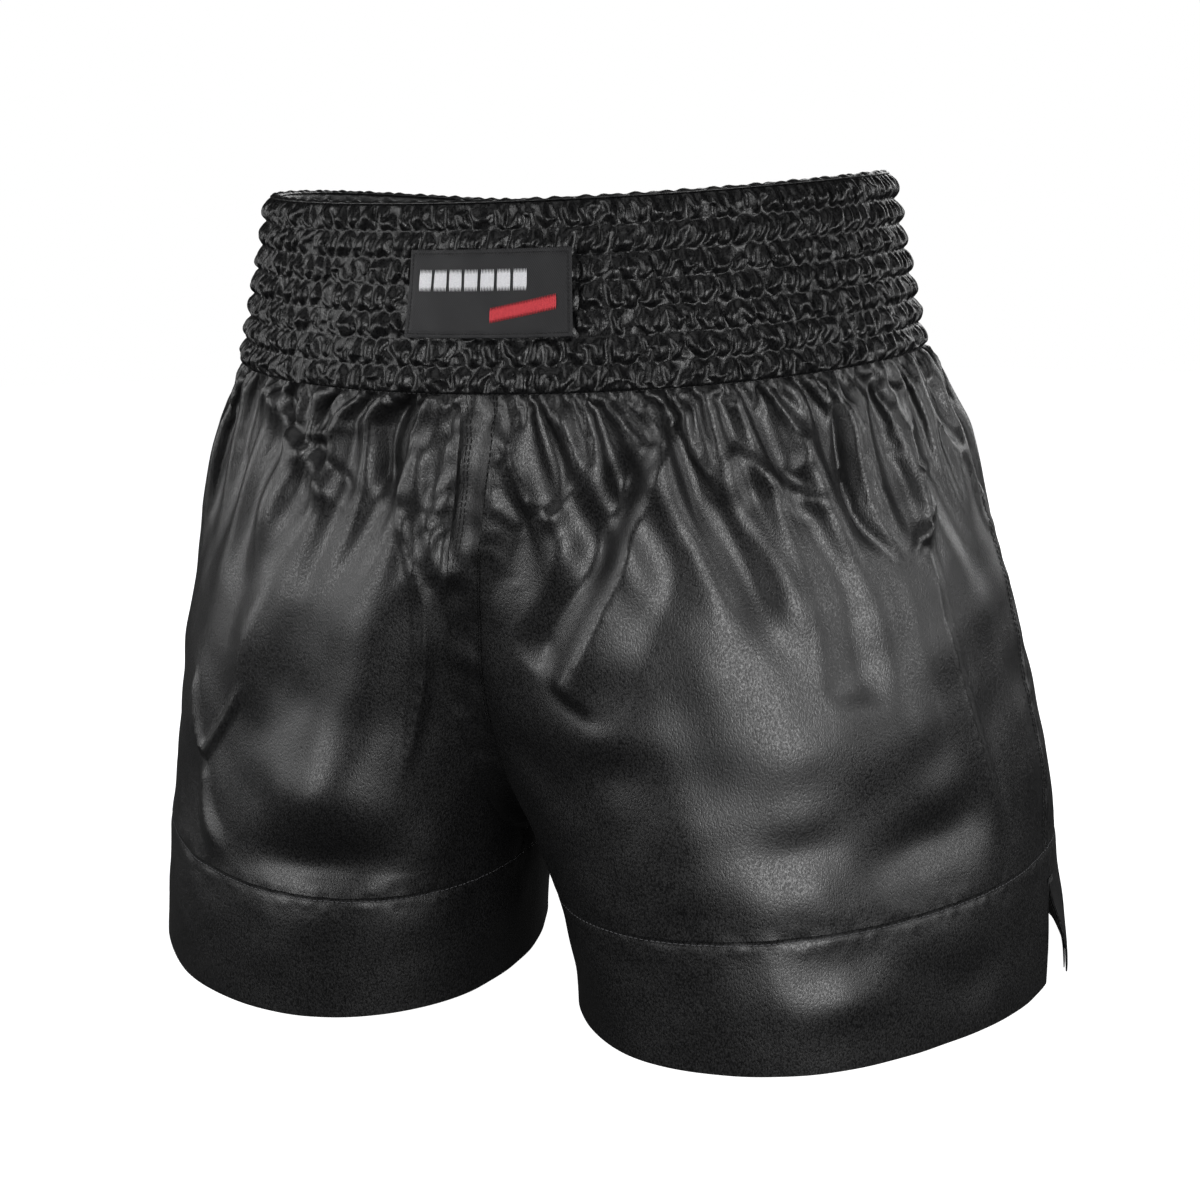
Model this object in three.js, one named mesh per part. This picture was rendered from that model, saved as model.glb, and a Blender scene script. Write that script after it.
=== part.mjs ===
// Boxing shorts of black satin, standing open as if worn: +Z is up, the front faces -Y,
// the wearer's left is +X, and both hems stand on z = 0. Sizes are in millimetres.
// Every piece follows one of two surfaces: the waistband's tapered oval ring, or a leg,
// which turns from half of that oval at the waist seam into an ellipse at the hem.
import * as THREE from "three";

// ---- Driving sizes ----

const overallHeight = 370; // ground to the top edge of the waistband, at the sides
const clearance = 0.3; // between pieces that touch

const elasticRows = 7;
const rowHeight = 10.7; // one gathered row of the waistband
const topHalfWidth = 144.5; // oval of the waistband's top edge
const topHalfDepth = 104.5;
const seamHalfWidth = 161; // oval of the seam under the waistband
const seamHalfDepth = 118;
const waistForward = 2.5; // the waist's centre lies this far in front of the legs' centres
const topDip = 10.5; // how far the top edge hangs lower at the front
const seamDip = 13; // the same for the waist seam
const backDip = 13; // how far the whole waistband hangs lower at the back
const waistTilt = 2.7; // the wearer's left side is this much higher, the right side lower

const hemHalfLength = 140.5; // ellipse of a leg's hem, along its own long axis
const hemHalfWidth = 98;
const hemTurn = THREE.MathUtils.degToRad(65); // from the X axis to that long axis
const legGap = 35.3; // between the two hems, at their nearest
const blouseShare = 0.28; // share of the flare that comes right below the waist seam
const blouseFlare = 7; // how soon that share comes
const outerFlare = 1.35; // how soon the rest comes, at the outside
const innerFlare = 1.8; // the same at the inseam
const centreLean = 14.5; // how far the centre seam sags towards the wearer's right
const leanReach = 55; // how far from the centre seam the cloth follows it
const sideSeamAngle = THREE.MathUtils.degToRad(98); // from the front round to the side seam

const clothThickness = 1.0; // leg panels and centre strips
const stripWidth = 16.5; // centre strip between the two legs
const gussetRows = 4; // rows of the centre strip, each way, that the gusset takes up
const bandHeight = 59; // hem band
const bandSlope = 4; // the band is this much higher outside, and lower at the inseam
const bandThickness = 1.6;
const facingThickness = 0.8; // turned-up cloth behind the hem band
const facingInset = 1.2; // from the hem band's edges
const ventBelowTop = 15; // from the top of the hem band down to the top of the side vent
const ventHalfWidth = 6; // its half width where the corners start
const cornerHeight = 14; // cut-off corners of the vent
const cornerWidth = 8;

const rowBulge = 3.0; // a gathered row stands this proud of its stitch lines
const casingWall = 1.0; // behind the stitch lines
const elasticWidth = 8;
const elasticThickness = 1.2;
const innerCasingThickness = 0.8;

const labelWidth = 71;
const labelHeight = 34.5;
const labelThickness = 0.8;
const labelDrop = 18; // from the top edge of the waistband to the label
const labelShift = 3; // towards the wearer's left
const motifThickness = 0.5;
const careLabelWidth = 26;
const careLabelHeight = 20;

const threadWidth = 1.0;
const threadThickness = 0.7;
const seamAllowance = 3; // from a seam to its line of stitching
const stitchInset = 2; // from the centre strip's edge to its line of stitching
const bartackWidth = 9;
const bartackHeight = 2.5;

const ringSegments = 36; // around the waistband
const panelColumns = 13; // across a leg panel
const rowsAboveCrotch = 8;
const rowsBelowCrotch = 3;

// ---- Colours ----

const satin = { color: 0x0b0b0d, roughness: 0.42, metalness: 0.0 };
const blackThread = { color: 0x121214, roughness: 0.75, metalness: 0.0 };
const greyThread = { color: 0x4a4a4e, roughness: 0.75, metalness: 0.0 };
const whiteElastic = { color: 0xd8d8d4, roughness: 0.9, metalness: 0.0 };
const labelTwill = { color: 0x1d1d21, roughness: 0.8, metalness: 0.0 };
const whiteThread = { color: 0xf0f0f0, roughness: 0.7, metalness: 0.0 };
const redThread = { color: 0xd4232d, roughness: 0.7, metalness: 0.0 };

// ---- Sizes that follow ----

const { lerp } = THREE.MathUtils;
const waistbandHeight = elasticRows * rowHeight;
const elasticInside = -casingWall - clearance - elasticThickness;
const innerCasingOutside = elasticInside - clearance;
const innerCasingInside = innerCasingOutside - innerCasingThickness;
const facingOutside = -bandThickness - clearance;
const ventHeight = bandHeight - ventBelowTop;
const hemReach = Math.hypot(hemHalfLength * Math.cos(hemTurn), hemHalfWidth * Math.sin(hemTurn));
const legSpread = legGap / 2 + hemReach; // from the middle to the centre of each hem
const seamGap = clearance + 0.1; // between two panels, whose edges run at a slant
const centreEdge = stripWidth / 2 + clearance; // where the leg panels start, from x = 0
// The flats of a ring reach this far inside its round.
const ringFlat = seamHalfWidth * (1 - Math.cos(Math.PI / ringSegments));

// ---- The two surfaces ----

// Angles run from the front (0) round by the leg's own side (90 degrees) to the back.
function dipAt(angle, share) {
  const front = ((1 + Math.cos(angle)) / 2) ** 2;
  const back = ((1 - Math.cos(angle)) / 2) ** 4;
  return lerp(seamDip, topDip, share) * front + backDip * back;
}

// A point of the waistband: share is 0 at the seam and 1 at the top edge.
function waistPoint(angle, share, proud) {
  const halfWidth = lerp(seamHalfWidth, topHalfWidth, share) + proud;
  const halfDepth = lerp(seamHalfDepth, topHalfDepth, share) + proud;
  const level = overallHeight - waistbandHeight * (1 - share);
  return new THREE.Vector3(
    halfWidth * Math.sin(angle),
    -waistForward - halfDepth * Math.cos(angle),
    level - dipAt(angle, share) + waistTilt * Math.sin(angle),
  );
}

function seamHeight(side, angle) {
  return waistPoint(side * angle, 0, 0).z;
}

function hemRadius(angle) {
  const along = Math.sin(angle) * Math.cos(hemTurn) - Math.cos(angle) * Math.sin(hemTurn);
  const across = -Math.sin(angle) * Math.sin(hemTurn) - Math.cos(angle) * Math.cos(hemTurn);
  return 1 / Math.hypot(along / hemHalfLength, across / hemHalfWidth);
}

// A leg's outline at height z, seen from above, for the wearer's left leg.
function legOutline(angle, fall) {
  const flare = lerp(outerFlare, innerFlare, ((1 - Math.sin(angle)) / 2) ** 2);
  const rest = 1 - Math.min(fall, 1);
  const blend = 1 - lerp(rest ** flare, rest ** blouseFlare, blouseShare);
  const radius = hemRadius(angle);
  return new THREE.Vector2(
    lerp(seamHalfWidth * Math.sin(angle), legSpread + radius * Math.sin(angle), blend),
    lerp(-waistForward - seamHalfDepth * Math.cos(angle), -radius * Math.cos(angle), blend),
  );
}

// Sags the middle of the front sideways, between the waist seam and the hems.
function lean(point) {
  const fall = THREE.MathUtils.clamp(1 - point.z / seamHeight(1, 0), 0, 1);
  const front = THREE.MathUtils.clamp(0.5 - point.y / 80, 0, 1);
  const near = Math.exp(-((point.x / leanReach) ** 2));
  point.x -= centreLean * Math.sin(Math.PI * fall) ** 2 * front * near;
  return point;
}

// A point of a leg: side is 1 for the wearer's left and -1 for the right.
function legPoint(side, angle, z, proud) {
  return lean(legSurface(side, angle, z, proud));
}

function legSurface(side, angle, z, proud) {
  const step = 0.001;
  const fall = 1 - z / seamHeight(side, angle);
  const here = legOutline(angle, fall);
  const along = legOutline(angle + step, fall).sub(legOutline(angle - step, fall)).normalize();
  return new THREE.Vector3(side * (here.x + along.y * proud), here.y - along.x * proud, z);
}

// How far the angle turns over a length of the outline.
function turnOver(angle, z, length) {
  const step = 0.001;
  const near = legSurface(1, angle - step, z, 0);
  return (length * 2 * step) / legSurface(1, angle + step, z, 0).distanceTo(near);
}

// ---- The crotch, where the two legs' outlines part ----

function bandTop(angle) {
  return bandHeight + bandSlope * Math.sin(angle);
}

function panelLevel(side, angle, row) {
  const seam = seamHeight(side, angle) - clearance;
  return lerp(bandTop(angle) + clearance, seam, row);
}

function acrossAt(angle, row) {
  return legSurface(1, angle, panelLevel(1, angle, row), 0).x;
}

function innermostAngle(row) {
  let best = -Math.PI / 2;
  for (let angle = -Math.PI / 2; angle < -0.5; angle += 0.002) {
    if (acrossAt(angle, row) < acrossAt(best, row)) best = angle;
  }
  return best;
}

// The value between low and high where a falling test turns from true to false.
function bisect(low, high, isBelow) {
  for (let i = 0; i < 40; i += 1) {
    const middle = (low + high) / 2;
    if (isBelow(middle)) low = middle;
    else high = middle;
  }
  return (low + high) / 2;
}

const crotchRow = bisect(0.001, 0.9, (row) => acrossAt(innermostAngle(row), row) > centreEdge);
const inseamAngle = innermostAngle(crotchRow);

// Rows crowd towards the crotch, because the centre seam curves most there.
const panelRows = [];
for (let i = 0; i < rowsBelowCrotch; i += 1) panelRows.push((crotchRow * i) / rowsBelowCrotch);
for (let i = 0; i <= rowsAboveCrotch; i += 1) {
  panelRows.push(lerp(crotchRow, 1, (i / rowsAboveCrotch) ** 2));
}

// The angle of a leg's inner edge: the inseam below the crotch, the centre strip above it.
function innerEdge(isFront, row) {
  const z = panelLevel(1, inseamAngle, row);
  const gap = turnOver(inseamAngle, z, seamGap / 2);
  const start = isFront ? inseamAngle : inseamAngle + 2 * Math.PI;
  const inseam = isFront ? start + gap : start - gap;
  if (row <= crotchRow) return inseam;
  const centre = bisect(start, sideSeamAngle, (angle) => acrossAt(angle, row) < centreEdge);
  return isFront ? Math.max(centre, inseam) : Math.min(centre, inseam);
}

// ---- Closed bodies ----

// Turns the triangles outwards, whichever hand the grid had.
function closedBody(points, triangles) {
  let volume = 0;
  for (const [a, b, c] of triangles) {
    volume += points[a].dot(points[b].clone().cross(points[c]));
  }
  const turned = triangles.map(([a, b, c]) => (volume > 0 ? [a, b, c] : [a, c, b]));
  const geometry = new THREE.BufferGeometry().setFromPoints(points);
  geometry.setIndex(turned.flat());
  geometry.computeVertexNormals();
  return geometry;
}

function quad(a, b, c, d) {
  return [[a, b, c], [a, c, d]];
}

// A closed ring around the waistband, from a profile of [height above the seam, proud].
function ringBody(profile) {
  const points = [];
  const triangles = [];
  const count = profile.length;
  for (let i = 0; i < ringSegments; i += 1) {
    const angle = (2 * Math.PI * i) / ringSegments;
    for (const [height, proud] of profile) {
      points.push(waistPoint(angle, height / waistbandHeight, proud));
    }
    const here = i * count;
    const next = ((i + 1) % ringSegments) * count;
    for (let j = 0; j < count; j += 1) {
      const k = (j + 1) % count;
      triangles.push(...quad(here + j, next + j, next + k, here + k));
    }
  }
  return closedBody(points, triangles);
}

// A closed sheet from two grids of points: place(i, j, layer) with layer 0 outside, 1 inside.
function sheetBody(columns, rows, place) {
  const points = [];
  const triangles = [];
  const at = (i, j, layer) => (i * (rows + 1) + j) * 2 + layer;
  for (let i = 0; i <= columns; i += 1) {
    for (let j = 0; j <= rows; j += 1) points.push(place(i, j, 0), place(i, j, 1));
  }
  for (let i = 0; i < columns; i += 1) {
    for (let j = 0; j < rows; j += 1) {
      triangles.push(...quad(at(i, j, 0), at(i + 1, j, 0), at(i + 1, j + 1, 0), at(i, j + 1, 0)));
      triangles.push(...quad(at(i, j, 1), at(i, j + 1, 1), at(i + 1, j + 1, 1), at(i + 1, j, 1)));
    }
    triangles.push(...quad(at(i, 0, 0), at(i, 0, 1), at(i + 1, 0, 1), at(i + 1, 0, 0)));
    triangles.push(...quad(at(i, rows, 0), at(i + 1, rows, 0), at(i + 1, rows, 1), at(i, rows, 1)));
  }
  for (let j = 0; j < rows; j += 1) {
    triangles.push(...quad(at(0, j, 0), at(0, j + 1, 0), at(0, j + 1, 1), at(0, j, 1)));
    const last = columns;
    triangles.push(...quad(at(last, j, 0), at(last, j, 1), at(last, j + 1, 1), at(last, j + 1, 0)));
  }
  return closedBody(points, triangles);
}

// ---- The object ----

const shorts = new THREE.Group();

function add(name, geometry, finish) {
  const mesh = new THREE.Mesh(geometry, new THREE.MeshStandardMaterial(finish));
  mesh.name = name;
  shorts.add(mesh);
}

// ---- Waistband ----

function addCasings() {
  const outside = [];
  for (let row = 0; row < elasticRows; row += 1) {
    outside.push([row * rowHeight, 0], [(row + 0.5) * rowHeight, rowBulge]);
  }
  outside.push([waistbandHeight, 0]);
  const inside = [[waistbandHeight, -casingWall], [0, -casingWall]];
  add("waistband_outer_casing", ringBody([...outside, ...inside]), satin);
  const innerCasing = [
    [0, innerCasingOutside],
    [waistbandHeight, innerCasingOutside],
    [waistbandHeight, innerCasingInside],
    [0, innerCasingInside],
  ];
  add("waistband_inner_casing", ringBody(innerCasing), satin);
}

function addElastics() {
  const outside = elasticInside + elasticThickness;
  for (let row = 0; row < elasticRows; row += 1) {
    const low = (row + 0.5) * rowHeight - elasticWidth / 2;
    const high = low + elasticWidth;
    const tape = [[low, outside], [high, outside], [high, elasticInside], [low, elasticInside]];
    add(`elastic_tape_${elasticRows - row}`, ringBody(tape), whiteElastic);
  }
}

function threadRing(height) {
  const middle = clearance + threadThickness / 2;
  return ringBody([
    [height, clearance],
    [height - threadThickness / 2, middle],
    [height, clearance + threadThickness],
    [height + threadThickness / 2, middle],
  ]);
}

function addWaistStitching() {
  for (let row = 1; row < elasticRows; row += 1) {
    add(`casing_stitch_row_${elasticRows - row}`, threadRing(row * rowHeight), blackThread);
  }
  add("waist_seam_stitching", threadRing(threadThickness / 2), blackThread);
}

// ---- Label ----

// A thin sheet on the waistband's front or back, by its size and place on the label.
function bandSheet({ middle, width, low, height, outside, thickness, columns, slant = 0 }) {
  const halfWidth = (seamHalfWidth + topHalfWidth) / 2;
  return sheetBody(columns, 1, (i, j, layer) => {
    const across = (i / columns - 0.5) * width + (j - 0.5) * slant;
    const angle = middle + Math.asin(across / halfWidth);
    return waistPoint(angle, (low + j * height) / waistbandHeight, outside - layer * thickness);
  });
}

function addLabel() {
  const labelInside = rowBulge + clearance;
  const labelOutside = labelInside + labelThickness;
  const labelLow = waistbandHeight - labelDrop - labelHeight;
  const middle = labelShift / ((seamHalfWidth + topHalfWidth) / 2);
  const patch = { middle, width: labelWidth, low: labelLow, height: labelHeight };
  add(
    "front_label",
    bandSheet({ ...patch, outside: labelOutside, thickness: labelThickness, columns: 10 }),
    labelTwill,
  );
  const motifOutside = labelOutside + clearance + motifThickness;
  const motif = { outside: motifOutside, thickness: motifThickness, columns: 6 };
  const whiteBar = {
    ...motif,
    middle: middle - 0.052,
    width: labelWidth * 0.7,
    low: labelLow + labelHeight * 0.54,
    height: labelHeight * 0.24,
  };
  add("label_white_bar", bandSheet(whiteBar), whiteThread);
  const redBar = {
    ...motif,
    middle: middle + 0.09,
    width: labelWidth * 0.38,
    low: labelLow + labelHeight * 0.2,
    height: labelHeight * 0.22,
    slant: 6,
  };
  add("label_red_bar", bandSheet(redBar), redThread);
  addLabelStitching(patch, labelOutside);
}

// One run of thread just inside the label's edge, with a small opening at a corner.
function addLabelStitching(patch, labelOutside) {
  const inset = 1.6;
  const halfWidth = (seamHalfWidth + topHalfWidth) / 2;
  const right = patch.width / 2 - inset;
  const bottom = patch.low + inset;
  const top = patch.low + patch.height - inset;
  const route = [];
  const steps = 8;
  for (let i = 0; i <= steps; i += 1) route.push([lerp(-right, right, i / steps), bottom]);
  for (let i = 0; i <= steps; i += 1) route.push([lerp(right, -right, i / steps), top]);
  route.push([-right, bottom + 2 * threadWidth]);
  const inner = route.map(([across, height]) => [
    across - Math.sign(across) * threadThickness * (Math.abs(across) > right - 0.01 ? 1 : 0),
    height + Math.sign((bottom + top) / 2 - height) * threadThickness,
  ]);
  inner[inner.length - 1] = [-right + threadThickness, bottom + 2 * threadWidth];
  const stitching = sheetBody(route.length - 1, 1, (i, j, layer) => {
    const [across, height] = j === 0 ? route[i] : inner[i];
    const angle = patch.middle + Math.asin(across / halfWidth);
    const proud = labelOutside + clearance + (1 - layer) * threadThickness;
    return waistPoint(angle, height / waistbandHeight, proud);
  });
  add("label_edge_stitching", stitching, blackThread);
}

function addCareLabel() {
  const careLabel = {
    middle: Math.PI,
    width: careLabelWidth,
    low: waistbandHeight - rowHeight - careLabelHeight,
    height: careLabelHeight,
    outside: innerCasingInside - clearance - ringFlat,
    thickness: labelThickness,
    columns: 4,
  };
  add("blank_care_label", bandSheet(careLabel), whiteThread);
}

// ---- Leg panels and what joins them ----

function panelEdges(isFront, row) {
  const gap = turnOver(sideSeamAngle, panelLevel(1, sideSeamAngle, row), seamGap / 2);
  const inner = innerEdge(isFront, row);
  return isFront ? [inner, sideSeamAngle - gap] : [sideSeamAngle + gap, inner];
}

const frontPanelEdges = panelRows.map((row) => panelEdges(true, row));
const backPanelEdges = panelRows.map((row) => panelEdges(false, row));

// A corner of a leg panel's grid, counted from its first edge and from the hem band.
function panelPoint(side, isFront, i, j, proud) {
  const [first, last] = isFront ? frontPanelEdges[j] : backPanelEdges[j];
  const angle = lerp(first, last, i / panelColumns);
  return legPoint(side, angle, panelLevel(side, angle, panelRows[j]), proud);
}

function addPanel(name, side, isFront) {
  const panel = sheetBody(panelColumns, panelRows.length - 1, (i, j, layer) =>
    panelPoint(side, isFront, i, j, -layer * clothThickness),
  );
  add(name, panel, satin);
}

// The centre strip's line, from the front of the waist under the crotch to the back.
const stripLine = [];
for (let i = panelRows.length - 1; i >= rowsBelowCrotch; i -= 1) {
  stripLine.push([true, panelRows[i]]);
}
for (let i = rowsBelowCrotch + 1; i < panelRows.length; i += 1) {
  stripLine.push([false, panelRows[i]]);
}

function stripEdge(side, [isFront, row]) {
  const angle = row === crotchRow ? inseamAngle : innerEdge(isFront, row);
  const point = legSurface(side, angle, panelLevel(side, angle, row), 0);
  return lean(point.setX((side * stripWidth) / 2));
}

function shorten(line, end, next) {
  line[end].lerp(line[next], clearance / line[end].distanceTo(line[next]));
}

// A stretch of cloth or thread along the centre strip, shortened by a clearance where it
// meets the next one. It lies between two shares of the strip's width, 0 left and 1 right.
function stripBody(first, last, [left, right], outside, inside) {
  const edges = [1, -1].map((side) => {
    const line = stripLine.slice(first, last + 1).map((station) => stripEdge(side, station));
    if (first > 0) shorten(line, 0, 1);
    if (last < stripLine.length - 1) shorten(line, line.length - 1, line.length - 2);
    return line;
  });
  return sheetBody(1, last - first, (i, j, layer) => {
    const before = edges[0][Math.max(j - 1, 0)];
    const after = edges[0][Math.min(j + 1, last - first)];
    const along = after.clone().sub(before).setX(0).normalize();
    const outwards = new THREE.Vector3(0, along.z, -along.y);
    const point = edges[0][j].clone().lerp(edges[1][j], i === 0 ? left : right);
    return point.addScaledVector(outwards, layer === 0 ? outside : inside);
  });
}

function addCentre() {
  const crotch = rowsAboveCrotch;
  const frontEnd = crotch - gussetRows;
  const backStart = crotch + gussetRows;
  const full = [0, 1];
  const strip = (first, last) => stripBody(first, last, full, 0, -clothThickness);
  add("centre_front_strip", strip(0, frontEnd), satin);
  add("crotch_gusset", strip(frontEnd, backStart), satin);
  add("centre_back_strip", strip(backStart, 2 * crotch), satin);
  const from = stitchInset / stripWidth;
  const to = (stitchInset + threadWidth) / stripWidth;
  for (const [name, shares] of [["left", [from, to]], ["right", [1 - to, 1 - from]]]) {
    const thread = (first, last) =>
      stripBody(first, last, shares, clearance + threadThickness, clearance);
    add(`centre_front_stitching_${name}`, thread(0, frontEnd), greyThread);
    add(`centre_back_stitching_${name}`, thread(backStart, 2 * crotch), greyThread);
  }
}

// A line of thread up a leg panel, beside the edge at column `from`, between two rows.
function addUprightThread(name, side, isFront, from, firstRow, lastRow, finish) {
  const towards = from === 0 ? 1 : panelColumns - 1;
  const thread = sheetBody(1, lastRow - firstRow, (i, j, layer) => {
    const edge = panelPoint(side, isFront, from, firstRow + j, 0);
    const inner = panelPoint(side, isFront, towards, firstRow + j, 0);
    const along = inner.sub(edge).normalize();
    const outwards = new THREE.Vector3(along.y, -along.x, 0).normalize();
    if (from === 0 ? side < 0 : side > 0) outwards.negate();
    return edge
      .addScaledVector(along, seamAllowance + (i - 0.5) * threadWidth)
      .addScaledVector(outwards, clearance + (1 - layer) * threadThickness);
  });
  add(name, thread, finish);
}

function addUprightStitching(name, side) {
  const top = panelRows.length - 1;
  addUprightThread(`side_seam_stitching_${name}`, side, true, panelColumns, 0, top, blackThread);
  addUprightThread(`inseam_stitching_${name}`, side, true, 0, 0, rowsBelowCrotch, blackThread);
}

// ---- Hem bands ----

// How far the vent's edge lies from the side seam at height z.
function ventEdge(z) {
  if (z >= ventHeight) return seamGap / 2;
  if (z >= cornerHeight) {
    return lerp(ventHalfWidth, clearance, (z - cornerHeight) / (ventHeight - cornerHeight));
  }
  return lerp(ventHalfWidth + cornerWidth, ventHalfWidth, z / cornerHeight);
}

function bandEdges(isFront, inseamLevel, ventLevel, inset) {
  const vent = turnOver(sideSeamAngle, ventLevel, ventEdge(ventLevel) + inset);
  const inner = turnOver(inseamAngle, inseamLevel, seamGap / 2 + inset);
  if (isFront) return [inseamAngle + inner, sideSeamAngle - vent];
  return [sideSeamAngle + vent, inseamAngle + 2 * Math.PI - inner];
}

// A sheet of the hem: its first rows lie at fixed levels, its last ones at depths below the
// band's sloping top.
function hemSheet(side, isFront, lowLevels, belowTop, inset, outside, inside) {
  const levelAt = (j, angle) =>
    j < lowLevels.length ? lowLevels[j] : bandTop(angle) - belowTop[j - lowLevels.length];
  const rows = lowLevels.length + belowTop.length;
  const edges = Array.from({ length: rows }, (_, j) =>
    bandEdges(isFront, levelAt(j, inseamAngle), levelAt(j, sideSeamAngle), inset),
  );
  return sheetBody(panelColumns, rows - 1, (i, j, layer) => {
    const angle = lerp(edges[j][0], edges[j][1], i / panelColumns);
    return legPoint(side, angle, levelAt(j, angle), layer === 0 ? outside : inside);
  });
}

function addHem(name, side, isFront) {
  const inset = facingInset;
  const vent = [cornerHeight, ventHeight];
  const band = hemSheet(side, isFront, [0, ...vent], [0], 0, 0, -bandThickness);
  add(`hem_band_${name}`, band, satin);
  const facingInside = facingOutside - facingThickness;
  const facing = hemSheet(side, isFront, [inset, ...vent], [inset], inset, facingOutside, facingInside);
  add(`hem_facing_${name}`, facing, satin);
  const depth = seamAllowance / 2;
  const proud = clearance + threadThickness;
  const stitching = hemSheet(side, isFront, [], [depth + threadWidth, depth], inset, proud, clearance);
  add(`hem_stitching_${name}`, stitching, greyThread);
}

function addBartack(name, side) {
  const bartack = sheetBody(4, 1, (i, j, layer) => {
    const z = ventHeight + 1 + j * bartackHeight;
    const angle = sideSeamAngle + turnOver(sideSeamAngle, z, (i / 4 - 0.5) * bartackWidth);
    return legPoint(side, angle, z, clearance + (1 - layer) * threadThickness);
  });
  add(`vent_bartack_${name}`, bartack, blackThread);
}

// ---- Assembly ----

addCasings();
addElastics();
addWaistStitching();
addLabel();
addCareLabel();
addCentre();
for (const [name, side] of [["left", 1], ["right", -1]]) {
  addPanel(`front_panel_${name}`, side, true);
  addPanel(`back_panel_${name}`, side, false);
  addUprightStitching(name, side);
  addHem(`front_${name}`, side, true);
  addHem(`back_${name}`, side, false);
  addBartack(name, side);
}

export default shorts;
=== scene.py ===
"""Black satin boxing shorts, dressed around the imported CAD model.

Every visible piece follows the CAD model's two surfaces, the waistband's oval ring and the two
legs, with cloth detail added along their normals. Sizes are in millimetres and angles in degrees
until a mesh is made. An angle of 0 is the front and 90 is the leg's own side.
"""
import math
import random

import bpy
import numpy as np
from mathutils import Matrix, Vector


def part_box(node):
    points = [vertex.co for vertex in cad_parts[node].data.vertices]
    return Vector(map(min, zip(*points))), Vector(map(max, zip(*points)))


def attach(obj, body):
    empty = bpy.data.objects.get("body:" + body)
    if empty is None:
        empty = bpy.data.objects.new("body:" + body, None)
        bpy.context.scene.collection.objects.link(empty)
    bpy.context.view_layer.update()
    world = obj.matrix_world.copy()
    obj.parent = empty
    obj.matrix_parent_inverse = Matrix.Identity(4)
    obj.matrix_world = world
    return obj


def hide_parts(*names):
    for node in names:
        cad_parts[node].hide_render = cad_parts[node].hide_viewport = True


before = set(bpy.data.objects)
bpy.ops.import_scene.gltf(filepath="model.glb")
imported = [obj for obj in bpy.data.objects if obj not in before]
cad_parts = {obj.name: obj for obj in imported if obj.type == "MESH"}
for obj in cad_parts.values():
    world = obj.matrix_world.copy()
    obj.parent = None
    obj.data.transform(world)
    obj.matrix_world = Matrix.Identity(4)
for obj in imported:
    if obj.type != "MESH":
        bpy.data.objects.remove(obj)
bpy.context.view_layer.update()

MM = 0.001
LEFT, RIGHT = 1, -1
SIDES = (("left", LEFT), ("right", RIGHT))


def box_mm(node):
    low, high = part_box(node)
    return np.array(low) / MM, np.array(high) / MM


# ---- Sizes, from the frame and the part's own driving values ----

THREAD_PROUD = 1.0  # clearance and thickness of the CAD model's threads
WAIST_ROWS = 7
ROW_HEIGHT = 10.7
BAND_HEIGHT = WAIST_ROWS * ROW_HEIGHT
OVERALL_HEIGHT = 370.0

seam_low, seam_high = box_mm("waist_seam_stitching")
SEAM_HALF_WIDTH = (seam_high[0] - seam_low[0]) / 2 - THREAD_PROUD
SEAM_HALF_DEPTH = (seam_high[1] - seam_low[1]) / 2 - THREAD_PROUD
row_low, row_high = box_mm("casing_stitch_row_1")
ROW_1_SHARE = (WAIST_ROWS - 1) / WAIST_ROWS
TOP_HALF_WIDTH = (SEAM_HALF_WIDTH
                  + ((row_high[0] - row_low[0]) / 2 - THREAD_PROUD - SEAM_HALF_WIDTH) / ROW_1_SHARE)
TOP_HALF_DEPTH = (SEAM_HALF_DEPTH
                  + ((row_high[1] - row_low[1]) / 2 - THREAD_PROUD - SEAM_HALF_DEPTH) / ROW_1_SHARE)
WAIST_FORWARD = -(seam_low[1] + seam_high[1]) / 2
TOP_DIP, SEAM_DIP, BACK_DIP, WAIST_TILT = 10.5, 13.0, 13.0, 2.7

HEM_HALF_LENGTH, HEM_HALF_WIDTH = 140.5, 98.0
HEM_TURN = math.radians(65)
LEG_GAP = 35.3
HEM_REACH = math.hypot(HEM_HALF_LENGTH * math.cos(HEM_TURN), HEM_HALF_WIDTH * math.sin(HEM_TURN))
LEG_SPREAD = LEG_GAP / 2 + HEM_REACH
BLOUSE_SHARE, BLOUSE_FLARE = 0.28, 7.0
OUTER_FLARE, INNER_FLARE = 1.35, 1.8
CENTRE_LEAN, LEAN_REACH = 14.5, 55.0
SIDE_SEAM = 98.0
STRIP_WIDTH = 16.5
HEM_BAND, BAND_SLOPE = 59.0, 4.0
VENT_HEIGHT = HEM_BAND - 15.0
CLEARANCE = 0.3
CENTRE_EDGE = STRIP_WIDTH / 2 + CLEARANCE

SEAM_RADIUS, INSEAM_RADIUS = 150.0, 110.0  # a leg's rough radius there: millimetres to a radian

CLOTH = 0.5  # thickness that the satin shows at its edges


# ---- The two surfaces ----

def lerp(a, b, t):
    return a + (b - a) * t


def smooth(t):
    t = np.clip(t, 0.0, 1.0)
    return t * t * (3 - 2 * t)


def dip_at(angle, share):
    front = ((1 + np.cos(angle)) / 2) ** 2
    back = ((1 - np.cos(angle)) / 2) ** 4
    return lerp(SEAM_DIP, TOP_DIP, share) * front + BACK_DIP * back


def waist_point(angle, share, proud):
    """A point of the waistband: share is 0 at its seam and 1 at its top edge."""
    x = (lerp(SEAM_HALF_WIDTH, TOP_HALF_WIDTH, share) + proud) * np.sin(angle)
    y = -WAIST_FORWARD - (lerp(SEAM_HALF_DEPTH, TOP_HALF_DEPTH, share) + proud) * np.cos(angle)
    z = OVERALL_HEIGHT - BAND_HEIGHT * (1 - share) - dip_at(angle, share)
    return np.stack(np.broadcast_arrays(x, y, z + WAIST_TILT * np.sin(angle)), -1)


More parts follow.
